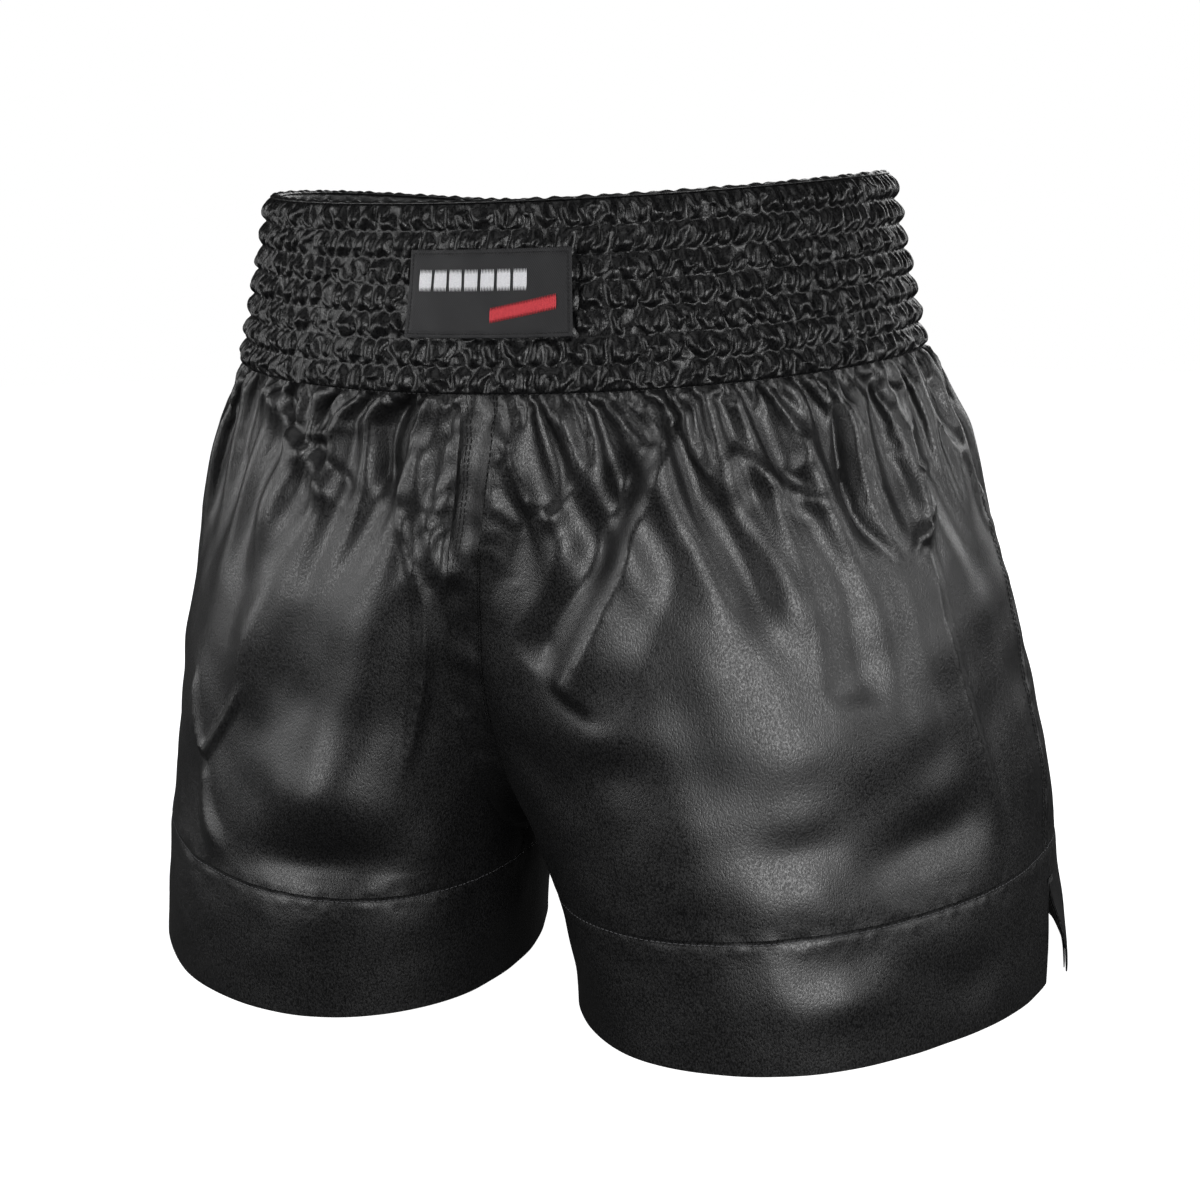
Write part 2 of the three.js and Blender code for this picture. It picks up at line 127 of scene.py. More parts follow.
def seam_height(side, angle):
    return waist_point(side * np.asarray(angle, float), 0.0, 0.0)[..., 2]


def hem_radius(angle):
    along = np.sin(angle) * math.cos(HEM_TURN) - np.cos(angle) * math.sin(HEM_TURN)
    across = -np.sin(angle) * math.sin(HEM_TURN) - np.cos(angle) * math.cos(HEM_TURN)
    return 1 / np.hypot(along / HEM_HALF_LENGTH, across / HEM_HALF_WIDTH)


def leg_outline(angle, fall):
    flare = lerp(OUTER_FLARE, INNER_FLARE, ((1 - np.sin(angle)) / 2) ** 2)
    rest = 1 - np.clip(fall, 0, 1)
    blend = 1 - lerp(rest ** flare, rest ** BLOUSE_FLARE, BLOUSE_SHARE)
    radius = hem_radius(angle)
    x = lerp(SEAM_HALF_WIDTH * np.sin(angle), LEG_SPREAD + radius * np.sin(angle), blend)
    y = lerp(-WAIST_FORWARD - SEAM_HALF_DEPTH * np.cos(angle), -radius * np.cos(angle), blend)
    return np.stack([x, y], -1)


def leg_surface(side, angle, z):
    """Points of a leg, before its centre leans."""
    angle, z = np.broadcast_arrays(np.asarray(angle, float), np.asarray(z, float))
    here = leg_outline(angle, 1 - z / seam_height(side, angle))
    return np.stack([side * here[..., 0], here[..., 1], z], -1)


def lean(points):
    fall = np.clip(1 - points[..., 2] / seam_height(LEFT, 0.0), 0, 1)
    front = np.clip(0.5 - points[..., 1] / 80, 0, 1)
    near = np.exp(-(points[..., 0] / LEAN_REACH) ** 2)
    leaned = points.copy()
    leaned[..., 0] -= CENTRE_LEAN * np.sin(np.pi * fall) ** 2 * front * near
    return leaned


def leg_base(side, angle, z):
    return lean(leg_surface(side, angle, z))


def unit(vectors):
    return vectors / np.maximum(np.linalg.norm(vectors, axis=-1, keepdims=True), 1e-9)


def leg_normal(side, angle, z):
    step = 0.004
    around = leg_base(side, angle + step, z) - leg_base(side, angle - step, z)
    up = leg_base(side, angle, np.asarray(z) + 0.8) - leg_base(side, angle, np.asarray(z) - 0.8)
    return side * unit(np.cross(around, up))


def band_top(angle):
    return HEM_BAND + BAND_SLOPE * np.sin(angle)


def panel_level(side, angle, row):
    return lerp(band_top(angle), seam_height(side, angle), row)


def across_at(angle, row):
    return leg_surface(LEFT, angle, panel_level(LEFT, angle, row))[..., 0]


def bisect(low, high, is_below):
    """The value between low and high, for each row, where a falling test turns false."""
    low, high = np.broadcast_arrays(np.asarray(low, float), np.asarray(high, float))
    low, high = low.copy(), high.copy()
    for _ in range(40):
        middle = (low + high) / 2
        below = is_below(middle)
        low = np.where(below, middle, low)
        high = np.where(below, high, middle)
    return (low + high) / 2


def innermost_angle(row):
    angles = np.linspace(-math.pi / 2, -0.5, 800)
    return angles[np.argmin(across_at(angles, row))]


CROTCH_ROW = float(bisect(0.001, 0.9, lambda r: across_at(innermost_angle(r), r) > CENTRE_EDGE))
INSEAM = float(innermost_angle(CROTCH_ROW))


def inner_edge(is_front, rows):
    """The angle of a leg's inner edge: the inseam below the crotch, the centre strip above."""
    rows = np.asarray(rows, float)
    inseam = INSEAM if is_front else INSEAM + 2 * math.pi
    centre = bisect(inseam, math.radians(SIDE_SEAM) + 0 * rows,
                    lambda angle: across_at(angle, rows) < CENTRE_EDGE)
    centre = np.maximum(centre, inseam) if is_front else np.minimum(centre, inseam)
    return np.where(rows <= CROTCH_ROW, inseam, centre)


# ---- Folds ----

def curve_through(points, count):
    """A Catmull-Rom curve through a few chosen points."""
    points = np.asarray(points, float)
    if len(points) == 2:
        return lerp(points[0], points[1], np.linspace(0, 1, count)[:, None])
    ends = np.vstack([2 * points[0] - points[1], points, 2 * points[-1] - points[-2]])
    spots = np.linspace(0, len(points) - 1 - 1e-6, count)
    index = spots.astype(int)
    t = (spots - index)[:, None]
    a, b, c, d = (ends[index + k] for k in range(4))
    return 0.5 * (2 * b + (c - a) * t + (2 * a - 5 * b + 4 * c - d) * t ** 2
                  + (3 * b - a - 3 * c + d) * t ** 3)


class Fold:
    """A ridge, or a groove if its height is negative, along a line of (angle, height) points.

    widths are its half widths to the left and right of someone walking along that line outside.
    sharp is 0 for a round crest and 1 for a crease. start and end are the shares of its
    length over which it grows and fades, and grow is how much wider it is at its far end.
    """

    def __init__(self, points, height, widths, sharp=0.3, start=0.25, end=0.4, grow=1.0):
        self.points = points
        self.height = height
        self.widths = widths if hasattr(widths, "__len__") else (widths, widths)
        self.sharp = sharp
        self.start = start
        self.end = end
        self.grow = grow

    def place(self, side):
        line = curve_through(self.points, max(10, 7 * len(self.points)))
        return leg_base(side, np.radians(line[:, 0]), line[:, 1])

    def raise_points(self, side, points, normals, lift):
        line = self.place(side)
        reach = max(self.widths) * max(self.grow, 1.0)
        near = np.all((points > line.min(0) - reach) & (points < line.max(0) + reach), axis=1)
        if not near.any():
            return
        p = points[near]
        run = line[1:] - line[:-1]
        t = np.einsum("nmk,mk->nm", p[:, None] - line[None, :-1], run) / (run ** 2).sum(1)
        t = np.clip(t, 0, 1)
        gap = p[:, None] - (line[None, :-1] + t[..., None] * run[None])
        distance = np.linalg.norm(gap, axis=2)
        index = distance.argmin(1)
        rows = np.arange(len(p))
        share = (index + t[rows, index]) / len(run)
        hand = np.einsum("nk,nk->n", np.cross(run[index], gap[rows, index]), normals[near])
        width = np.where(hand > 0, self.widths[0], self.widths[1]) * lerp(1, self.grow, share)
        away = np.clip(distance[rows, index] / width, 0, 1)
        crest = lerp(1 - smooth(away), (1 - away) ** 2, self.sharp)
        along = 1.0
        if self.start > 0:
            along = along * smooth(share / self.start)
        if self.end > 0:
            along = along * smooth((1 - share) / self.end)
        lift[near] += self.height * crest * along


class Swell:
    """A broad rise, or a hollow: its centre, half sizes around and up, tilt and height."""

    def __init__(self, angle, z, around, up, height, tilt=0.0):
        self.angle, self.z = math.radians(angle), z
        self.around, self.up = around, up
        self.height, self.tilt = height, math.radians(tilt)

    def raise_points(self, side, points, normals, lift):
        centre = leg_base(side, self.angle, self.z)
        ahead = unit(leg_base(side, self.angle + 0.01, self.z) - centre) * side
        rel = points - centre
        x, y = rel @ ahead, rel[:, 2]
        u = (x * math.cos(self.tilt) + y * math.sin(self.tilt)) / self.around
        v = (y * math.cos(self.tilt) - x * math.sin(self.tilt)) / self.up
        facing = np.clip(normals @ leg_normal(side, self.angle, self.z), 0, 1)
        lift += self.height * np.exp(-(u * u + v * v)) * facing


# The folds that the front shows, listed one by one: (angle, height) points from the waist down.
# Angles grow towards the leg's own side.
SHOWN_FOLDS = {
    LEFT: [
        # beside the centre strip, and the pocket next to it
        Fold([(-3, 281), (-7, 259), (-17, 229), (-29, 197), (-38, 160)], 6.5, (16, 7), 0.3, 0, 0.5),
        Fold([(-2, 270), (-7, 246), (-8, 232)], 2.5, (9, 6), 0.5, 0.2, 0.2),
        Fold([(-8, 232), (-3, 236), (6, 262), (9, 280)], 2.8, (6, 9), 0.5, 0.2, 0.2),
        # the long slanting tube, with a hollow on its inner side and a full tip
        Fold([(26, 280), (17, 256), (9, 235), (1, 211), (-8, 184), (-18, 156)],
             6.5, (20, 8), 0.3, 0.2, 0.05, 1.3),
        Fold([(16, 262), (6, 240), (-3, 215), (-13, 188), (-22, 165)], -5.0, (9, 13), 0.1, 0.2, 0.15, 1.3),
        Fold([(30, 283), (22, 266), (12, 248)], -2.4, 3, 0.5, 0.1, 0.3),
        # creases under the middle of the panel
        Fold([(30, 262), (33, 250), (38, 240), (44, 236)], 2.8, (6, 9), 0.5, 0.1, 0.3),
        Fold([(44, 268), (42, 256), (36, 247)], 2.0, (7, 5), 0.4, 0.2, 0.3),
        Fold([(29, 252), (25, 226), (21, 196), (18, 170)], -3.5, (13, 16), 0.0, 0.2, 0.5, 1.4),
        Fold([(42, 232), (40, 200), (36, 165), (33, 150)], -2.6, (20, 18), 0.0, 0.3, 0.35),
        Fold([(54, 279), (49, 250), (48, 228), (54, 208)], -3.2, 4.0, 0.5, 0.05, 0.4),
        Fold([(57, 279), (52, 250), (52, 228), (57, 208)], 2.2, (4, 9), 0.4, 0.05, 0.4),
        # the star at the side, its long ridge and short rays
        Fold([(72, 284), (69, 262), (67, 244), (65, 226), (62, 214)], 3.0, (7, 9), 0.4, 0.05, 0.1),
        Fold([(66, 250), (63, 214), (61, 182), (63, 147), (67, 112), (71, 80)], 4.2, (10, 16), 0.5, 0.1, 0.2),
        Fold([(65, 226), (70, 232), (76, 240)], 1.6, 4.5, 0.5, 0.1, 0.6),
        Fold([(66, 246), (72, 246), (79, 250)], 1.4, 4.5, 0.5, 0.1, 0.6),
        Fold([(65, 224), (60, 216), (55, 206)], 1.6, 5.0, 0.5, 0.1, 0.6),
    ],
    RIGHT: [
        # the tuck that runs in from the side
        Fold([(43, 281), (33, 266), (24, 255), (15, 242), (4, 229)], 3.4, (6, 13), 0.5, 0.05, 0.25),
        Fold([(40, 281), (30, 266), (21, 257), (12, 246), (2, 233)], -2.2, 5, 0.3, 0.05, 0.3),
        Fold([(28, 262), (20, 262), (13, 268)], 2.2, 5, 0.4, 0.2, 0.5),
        # the deep fold, its sharp edge and the crease below it
        Fold([(12, 284), (9, 265), (4, 249), (-3, 232)], -6.5, (9, 8), 0.2, 0.0, 0.35),
        Fold([(7, 284), (4, 266), (-1, 249), (-7, 230)], 4.5, (10, 5), 0.6, 0.0, 0.2),
        Fold([(-5, 236), (-14, 212), (-22, 190), (-28, 160), (-30, 130), (-29, 105)],
             2.6, (9, 5), 0.7, 0.1, 0.3),
        Fold([(-3, 282), (-9, 262), (-17, 232), (-22, 205)], -2.6, 7, 0.1, 0.1, 0.3),
        Fold([(0, 262), (-8, 240), (-18, 214), (-23, 200)], 2.6, (6, 9), 0.3, 0.15, 0.2),
        Fold([(-10, 270), (-16, 240), (-22, 212), (-27, 192)], 3.4, (9, 6), 0.3, 0.1, 0.3),
        # the gutter beside the centre strip
        Fold([(-7, 284), (-15, 250), (-27, 215), (-36, 175), (-44, 135), (-52, 100)],
             -4.0, (8, 6), 0.1, 0.0, 0.4),
        Fold([(-38, 152), (-45, 125), (-52, 98)], 3.0, (6, 12), 0.3, 0.3, 0.3),
        # the long soft slant and the streaks at the outside
        Fold([(30, 262), (19, 215), (15, 175), (18, 130)], 5.5, (26, 24), 0.0, 0.3, 0.3),
        Fold([(38, 150), (32, 122), (27, 108)], 2.4, (6, 5), 0.5, 0.3, 0.05),
        Fold([(14, 150), (20, 126), (26, 108)], 2.6, (5, 6), 0.5, 0.3, 0.05),
        Fold([(26, 106), (20, 84), (8, 66)], 2.2, (9, 12), 0.2, 0.2, 0.3),
    ],
}
SHOWN_SWELLS = {
    LEFT: [
        Swell(-30, 120, 30, 22, -3.5), Swell(-14, 142, 24, 12, 3.0), Swell(32, 142, 34, 20, 3.0),
        Swell(48, 92, 30, 13, -3.8, 10), Swell(14, 96, 24, 12, -2.8), Swell(-8, 100, 30, 22, 2.0),
        Swell(15, 28, 40, 12, 2.8), Swell(52, 26, 26, 14, -2.8), Swell(75, 150, 20, 24, -2.0),
        Swell(90, 110, 20, 26, 2.0),
    ],
    RIGHT: [
        Swell(-13, 106, 28, 18, 5.5), Swell(-16, 72, 32, 11, -5.5), Swell(26, 230, 24, 26, 3.0),
        Swell(2, 150, 22, 24, -2.4), Swell(30, 88, 20, 20, -2.2), Swell(-40, 78, 20, 18, 1.5),
        Swell(45, 190, 20, 30, -2.0),
    ],
}


def gathers(side):
    """Small folds all round, from the waist seam down, as the cloth spreads from its stitches."""
    pick = random.Random(40 + side)
    folds = []
    angle = -14.0
    while angle < 196:
        length = pick.choice((10, 14, 18, 24, 34))
        drift = pick.uniform(-0.10, 0.10) * length
        top = float(seam_height(side, math.radians(angle)))
        points = [(angle, top), (angle + 0.4 * drift, top - 0.5 * length), (angle + drift, top - length)]
        height = pick.uniform(1.0, 2.2) * pick.choice((1, 1, -1))
        width = pick.uniform(2.6, 4.2)
        folds.append(Fold(points, height, (width, width * pick.uniform(0.7, 1.4)),
                          pick.uniform(0.1, 0.6), 0.0, 0.8, 2.2))
        angle += pick.uniform(1.6, 3.4)
    return folds


def back_folds(side):
    """Longer folds over the back and the side, which the front view does not show."""
    pick = random.Random(70 + side)
    folds = []
    angle = 104.0 if side == LEFT else 60.0
    while angle < 186:
        top = float(seam_height(side, math.radians(angle)))
        length = pick.uniform(70, 170)
        slant = pick.uniform(-12, 12)
        points = [(angle, top - 8), (angle + 0.3 * slant, top - 0.4 * length),
                  (angle + slant, top - length)]
        height = pick.uniform(2.0, 4.0) * pick.choice((1, -1, 1))
        folds.append(Fold(points, height, (pick.uniform(6, 13), pick.uniform(7, 16)),
                          pick.uniform(0.0, 0.4), 0.15, 0.6, 1.6))
        angle += pick.uniform(7, 13)
    for _ in range(9):
        folds.append(Swell(pick.uniform(100, 260), pick.uniform(40, 200), pick.uniform(18, 34),
                           pick.uniform(14, 30), pick.uniform(-2.6, 2.6), pick.uniform(-40, 40)))
    return folds


PLAIN_FOLDS = {side: gathers(side) + back_folds(side) for side in (LEFT, RIGHT)}
FOLDS = {side: PLAIN_FOLDS[side] + SHOWN_FOLDS[side] + SHOWN_SWELLS[side] for side in (LEFT, RIGHT)}


def soft_noise(points, size, seed):
    """A smooth value from -1 to 1 that changes over about size millimetres."""
    total = np.zeros(len(points))
    pick = np.random.default_rng(seed)
    for _ in range(9):
        direction = unit(pick.normal(size=3))
        total += np.sin(points @ direction * (2 * math.pi / size) * pick.uniform(0.6, 1.5)
                        + pick.uniform(0, 2 * math.pi))
    return total / 4.0


def leg_lift(side, angle, z, points, normals, folds):
    """How far the cloth stands off the leg's surface."""
    lift = np.zeros(len(points))
    for fold in folds[side]:
        fold.raise_points(side, points, normals, lift)
    below_seam = seam_height(side, angle) - z
    lift += 1.1 * soft_noise(points, 75, 5) + 0.4 * soft_noise(points, 34, 6)
    # the waist seam holds the cloth, and so do the band's stitches
    lift *= lerp(0.55, 1.0, smooth(below_seam / 9))
    over_band = np.abs(z - band_top(angle) + 1.8)
    lift = lift * lerp(0.55, 1.0, smooth(over_band / 12))
    pucker = soft_noise(points, 9, 8) * np.exp(-(over_band / 6) ** 2)
    lift += 0.28 * pucker - 0.55 * np.exp(-(over_band / 1.1) ** 2)
    lift *= lerp(0.5, 1.0, smooth(z / 40))
    return lift + side_seam_lift(angle, z) + vent_lift(angle, z)


def side_seam_lift(angle, z):
    """The side seam sinks a little, with small puckers across it."""
    away = (angle - math.radians(SIDE_SEAM)) * SEAM_RADIUS
    strength = smooth((z - HEM_BAND) / 6)
    valley = -1.0 * np.exp(-(away / 1.6) ** 2) + 0.5 * np.exp(-((np.abs(away) - 4) / 3) ** 2)
    pucker = 0.3 * np.sin(z / 2.6 + 2 * np.sin(z / 11)) * np.exp(-(away / 6) ** 2)
    return (valley + pucker) * strength


def vent_lift(angle, z):
    """The vent's flaps: the back one turns out, the front one bends in a little."""
    away = (angle - math.radians(SIDE_SEAM)) * SEAM_RADIUS
    low = smooth(1.25 * (1 - z / (VENT_HEIGHT + 4)))
    back = np.exp(-np.maximum(away, 0) / 24) * (away > 0)
    front = np.exp(-np.maximum(-away, 0) / 18) * (away <= 0)
    return low * (5.5 * back - 2.5 * front)


def dressed(side, angle, z, proud=0.0, folds=FOLDS):
    """A leg's cloth at these angles and heights, moved out by proud."""
    angle, z = np.broadcast_arrays(np.asarray(angle, float), np.asarray(z, float))
    shape = angle.shape
    angle, z = angle.ravel(), z.ravel()
    points = leg_base(side, angle, z)
    normals = leg_normal(side, angle, z)
    lift = leg_lift(side, angle, z, points, normals, folds) + proud
    return (points + normals * lift[:, None]).reshape(shape + (3,))


# ---- Meshes ----

RIM_ANGLE = math.radians(70)  # a sheet's cut edges are sharp, its folds are not


def make_object(name, points, faces, material):
    mesh = bpy.data.meshes.new(name)
    mesh.from_pydata((np.asarray(points).reshape(-1, 3) * MM).tolist(), [], faces)
    mesh.validate()
    mesh.polygons.foreach_set("use_smooth", [True] * len(mesh.polygons))
    mesh.materials.append(material)
    mesh.update()
    piece = bpy.data.objects.new(name, mesh)
    bpy.context.scene.collection.objects.link(piece)
    return piece


def grid_normals(grid, wrap):
    if wrap:
        around = np.roll(grid, -1, 0) - np.roll(grid, 1, 0)
    else:
        around = np.gradient(grid, axis=0)
    return unit(np.cross(around, np.gradient(grid, axis=1)))


def grid_faces(columns, rows, wrap):
    """Faces of one open grid, or of a ring if it wraps."""
    last = columns if wrap else columns - 1
    faces = []
    for i in range(last):
        near, far = i * rows, (i + 1) % columns * rows
        faces += [(near + j, far + j, far + j + 1, near + j + 1) for j in range(rows - 1)]
    return faces


def solid_faces(columns, rows, wrap):
    """Faces of a closed sheet whose points are two grids, the outer and then the inner."""
    layer = columns * rows
    last = columns if wrap else columns - 1

    def at(i, j, inner):
        return inner * layer + (i % columns) * rows + j

    faces = []
    for i in range(last):
        for j in range(rows - 1):
            faces.append((at(i, j, 0), at(i + 1, j, 0), at(i + 1, j + 1, 0), at(i, j + 1, 0)))
            faces.append((at(i, j, 1), at(i, j + 1, 1), at(i + 1, j + 1, 1), at(i + 1, j, 1)))
        faces.append((at(i, 0, 0), at(i, 0, 1), at(i + 1, 0, 1), at(i + 1, 0, 0)))
        top = rows - 1
        faces.append((at(i, top, 0), at(i + 1, top, 0), at(i + 1, top, 1), at(i, top, 1)))
    if not wrap:
        for j in range(rows - 1):
            faces.append((at(0, j, 0), at(0, j + 1, 0), at(0, j + 1, 1), at(0, j, 1)))
            end = columns - 1
            faces.append((at(end, j, 0), at(end, j, 1), at(end, j + 1, 1), at(end, j + 1, 0)))
    return faces


def sheet_object(name, outer, thickness, material, hand=1, wrap=False, inner=None):
    """A closed sheet from its outer grid. hand is 1 where rows and columns face outwards."""
    if inner is None:
        inner = outer - hand * grid_normals(outer, wrap) * thickness
    columns, rows = outer.shape[:2]
    faces = solid_faces(columns, rows, wrap)
    if hand < 0:
        faces = [face[::-1] for face in faces]
    piece = make_object(name, np.stack([outer, inner]), faces, material)
    if not wrap:
        piece.data.set_sharp_from_angle(angle=RIM_ANGLE)
    return piece


# ---- Materials ----

def new_material(name, colour, roughness):
    material = bpy.data.materials.new(name)
    material.use_nodes = True
    shader = material.node_tree.nodes["Principled BSDF"]
    shader.inputs["Base Color"].default_value = (*colour, 1)
    shader.inputs["Roughness"].default_value = roughness
    return material, material.node_tree, shader


def add_node(tree, kind, **values):
    node = tree.nodes.new(kind)
    for key, value in values.items():
        if key in node.inputs:
            node.inputs[key].default_value = value
        else:
            setattr(node, key, value)
    return node


def object_noise(tree, scale, detail=2.0, stretch=(1, 1, 1)):
    place = add_node(tree, "ShaderNodeTexCoord")
    spread = add_node(tree, "ShaderNodeMapping")
    spread.inputs["Scale"].default_value = stretch
    noise = add_node(tree, "ShaderNodeTexNoise", Scale=scale, Detail=detail)
    tree.links.new(place.outputs["Object"], spread.inputs["Vector"])
    tree.links.new(spread.outputs["Vector"], noise.inputs["Vector"])
    return noise.outputs["Fac"]


def to_range(tree, value, low, high):
    spread = add_node(tree, "ShaderNodeMapRange")
    spread.inputs["From Min"].default_value = 0.35
    spread.inputs["From Max"].default_value = 0.65
    spread.inputs["To Min"].default_value = low
    spread.inputs["To Max"].default_value = high
    tree.links.new(value, spread.inputs["Value"])
    return spread.outputs["Result"]


def colour_between(tree, shader, value, low, high):
    ramp = add_node(tree, "ShaderNodeValToRGB")
    ramp.color_ramp.elements[0].position = 0.3
    ramp.color_ramp.elements[1].position = 0.7
    ramp.color_ramp.elements[0].color = (*low, 1)
    ramp.color_ramp.elements[1].color = (*high, 1)
    tree.links.new(value, ramp.inputs["Fac"])
    tree.links.new(ramp.outputs["Color"], shader.inputs["Base Color"])


def add_bump(tree, shader, value, strength, distance):
    bump = add_node(tree, "ShaderNodeBump", Strength=strength, Distance=distance)
    tree.links.new(value, bump.inputs["Height"])
    tree.links.new(bump.outputs["Normal"], shader.inputs["Normal"])


def satin_material(name, smoothest, roughest, gloss):
    """Black polyester satin: a dark ground, a broad soft gloss, and a fine grain."""
    material, tree, shader = new_material(name, (0.005, 0.005, 0.005), roughest)
    grain = object_noise(tree, 1500, 2, (1, 1, 0.6))
    colour_between(tree, shader, grain, (0.0018, 0.0018, 0.0020), (0.0085, 0.0085, 0.0090))
    tree.links.new(to_range(tree, grain, smoothest, roughest), shader.inputs["Roughness"])
    add_bump(tree, shader, grain, 0.7, 0.00022)
    shader.inputs["Specular IOR Level"].default_value = gloss
    return material


def thread_material(name, colour, lighter):
    material, tree, shader = new_material(name, colour, 0.7)
    twist = object_noise(tree, 2600, 2)
    colour_between(tree, shader, twist, colour, lighter)
    add_bump(tree, shader, twist, 0.5, 0.0002)
    return material


def twill_material():
    """The label's woven ground, with a fine slanting rib."""
    material, tree, shader = new_material("label_twill", (0.016, 0.016, 0.018), 0.62)
    place = add_node(tree, "ShaderNodeTexCoord")
    turn = add_node(tree, "ShaderNodeMapping")
    turn.inputs["Rotation"].default_value = (0, math.radians(35), 0)
    wave = add_node(tree, "ShaderNodeTexWave", Scale=420.0, Distortion=0.6)
    tree.links.new(place.outputs["Object"], turn.inputs["Vector"])
    tree.links.new(turn.outputs["Vector"], wave.inputs["Vector"])
    colour_between(tree, shader, wave.outputs["Fac"], (0.004, 0.004, 0.005), (0.015, 0.015, 0.017))
    add_bump(tree, shader, wave.outputs["Fac"], 0.4, 0.0002)
    return material


SATIN = satin_material("black_satin", 0.31, 0.53, 0.72)
SATIN_DIMMED_AS_SHADE = satin_material("black_satin_dimmed_as_shade", 0.26, 0.42, 0.42)  # a dimmer copy of the same satin, smoother and less glossy: its lower gloss is painted shade for the gathered casing
BLACK_THREAD = thread_material("black_thread", (0.004, 0.004, 0.004), (0.014, 0.014, 0.015))
GREY_THREAD = thread_material("grey_thread", (0.06, 0.06, 0.065), (0.12, 0.12, 0.125))
WHITE_THREAD = thread_material("white_thread", (0.72, 0.72, 0.75), (0.92, 0.92, 0.94))
RED_THREAD = thread_material("red_thread", (0.55, 0.03, 0.05), (0.78, 0.08, 0.09))
ELASTIC = thread_material("white_elastic", (0.55, 0.55, 0.53), (0.78, 0.78, 0.76))
TWILL = twill_material()


def settle(piece, slot, *nodes):
    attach(piece, "root")
    if nodes:
        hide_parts(*nodes)
    return piece


# ---- Legs: panels, strips, bands ----

LEG_COLUMNS = 112  # steps across one panel, before it is refined
LEG_ROWS = 76
LEG_GATHER = 1.32  # length of the uncut cloth at the waist over the seam it is drawn in to
GATHER_FROM = 0.52  # share of the panel's height above which it is cut wider
BLOUSING = 1.015  # length of the cloth over the given shape's, from hem band to waist
LEG_STIFFNESS = 7.0
LEG_DRAW_FRAMES = 14
LEG_FRAMES = 24
DRIFT_KEPT_OUT = 0.9  # share of the cloth's slow movement that is taken back
DRIFT_REACH = (14, 10)  # columns and rows over which a movement counts as slow
BROAD_REACH = (4, 5)  # columns and rows over which the lower gathers are softened
BROAD_SHARE, CRISP_SHARE = 0.45, 0.85  # share of the movement kept low down, and under the waist
GATHER_SINK = 3.0  # how far the gathered part sinks, so its crests keep the leg's outline
OFFSET_LIMIT = 9.0  # how far the gathered cloth may move from its given shape


def leg_grid(side):
    """Angles and heights over both panels of a leg, from its front inner edge to its back one."""
    row = np.linspace(0, 1, LEG_ROWS + 1)
    seam = math.radians(SIDE_SEAM)
    share = np.linspace(0, 1, LEG_COLUMNS + 1)[:, None]
    front = lerp(inner_edge(True, row)[None], seam, share)
    back = lerp(seam, inner_edge(False, row)[None], share)
    angle = np.vstack([front, back[1:]])
    return angle, panel_level(side, angle, row[None, :])


def uncut_leg(shape):
    """The leg's cloth before it is gathered: wider towards the waist, as long as before."""
    rows = shape.shape[1]
    row = np.linspace(0, 1, rows)[None, :, None]
    spread = 1 + (LEG_GATHER - 1) * smooth((row - GATHER_FROM) / (1 - GATHER_FROM))
    centre = np.array([0, -WAIST_FORWARD, 0])
    cut = centre + (shape - centre) * spread
    length = np.linalg.norm(np.diff(shape, axis=1), axis=-1) * BLOUSING
    sideways = np.linalg.norm(np.diff(cut[..., :2], axis=1), axis=-1)
    climb = np.sqrt(np.maximum(length ** 2 - sideways ** 2, (0.3 * length) ** 2))
    cut[..., 2] = shape[:, :1, 2]
    cut[:, 1:, 2] += np.cumsum(climb, axis=1)
    return cut


def soften(grid, columns_near, rows_near):
    """A grid's slow part: each point's average over its neighbours, taken twice."""
    for axis, reach in ((0, columns_near), (1, rows_near)):
        for _ in range(2):
            pad = [(0, 0)] * grid.ndim
            pad[axis] = (reach, reach)
            total = np.moveaxis(np.cumsum(np.pad(grid, pad, mode="edge"), axis=axis), axis, 0)
            span = 2 * reach
            part = (total[span:] - np.concatenate([0 * total[:1], total[:-span - 1]])) / (span + 1)
            grid = np.moveaxis(part, 0, axis)
    return grid


def edge_faded(grid):
    """The grid, fading to nothing at its four edges, where the cloth is held."""
    columns, rows = grid.shape[:2]
    i, j = np.arange(columns)[:, None], np.arange(rows)[None, :]
    near = np.minimum(np.minimum(i, columns - 1 - i), np.minimum(j, rows - 1 - j))
    return grid * smooth(near / 10)[..., None]


def gather_leg(side, shape):
    """Draws a leg's wider cloth in to the waist seam, so that it falls into gathers."""
    columns, rows = shape.shape[:2]
    rough = make_object("leg_rough", uncut_leg(shape), grid_faces(columns, rows, False), SATIN)
    held = [i * rows + j for i in range(columns) for j in range(rows)
            if i in (0, columns - 1) or j in (0, rows - 1)]
    co = draw_in(rough, shape, held, LEG_DRAW_FRAMES, LEG_FRAMES, LEG_STIFFNESS)
    bpy.data.objects.remove(rough)
    offset = co.reshape(shape.shape) / MM - shape
    offset = offset - DRIFT_KEPT_OUT * edge_faded(soften(offset, *DRIFT_REACH))
    # the gathers are crisp under the waist, and melt into broad soft folds further down
    row = np.linspace(0, 1, rows)[None, :, None]
    broad = edge_faded(soften(offset, *BROAD_REACH))
    offset = lerp(BROAD_SHARE * broad, CRISP_SHARE * offset, smooth((row - 0.5) / 0.35))
    sink = GATHER_SINK * smooth((row - 0.5) / 0.3) * smooth((1 - row) / 0.08)
    offset = offset - edge_faded(sink * side * grid_normals(shape, False))
    size = np.linalg.norm(offset, axis=-1, keepdims=True)
    return shape + offset * np.tanh(size / OFFSET_LIMIT) * OFFSET_LIMIT / np.maximum(size, 1e-6)


def refine(grid):
    """Doubles a grid both ways along smooth curves."""
    for axis in (0, 1):
        grid = np.moveaxis(grid, axis, 0)
        ends = np.concatenate([2 * grid[:1] - grid[1:2], grid, 2 * grid[-1:] - grid[-2:-1]])
        middle = (9 * (ends[1:-2] + ends[2:-1]) - ends[:-3] - ends[3:]) / 16
        finer = np.empty((2 * len(grid) - 1,) + grid.shape[1:])
        finer[::2], finer[1::2] = grid, middle
        grid = np.moveaxis(finer, 0, axis)
    return grid


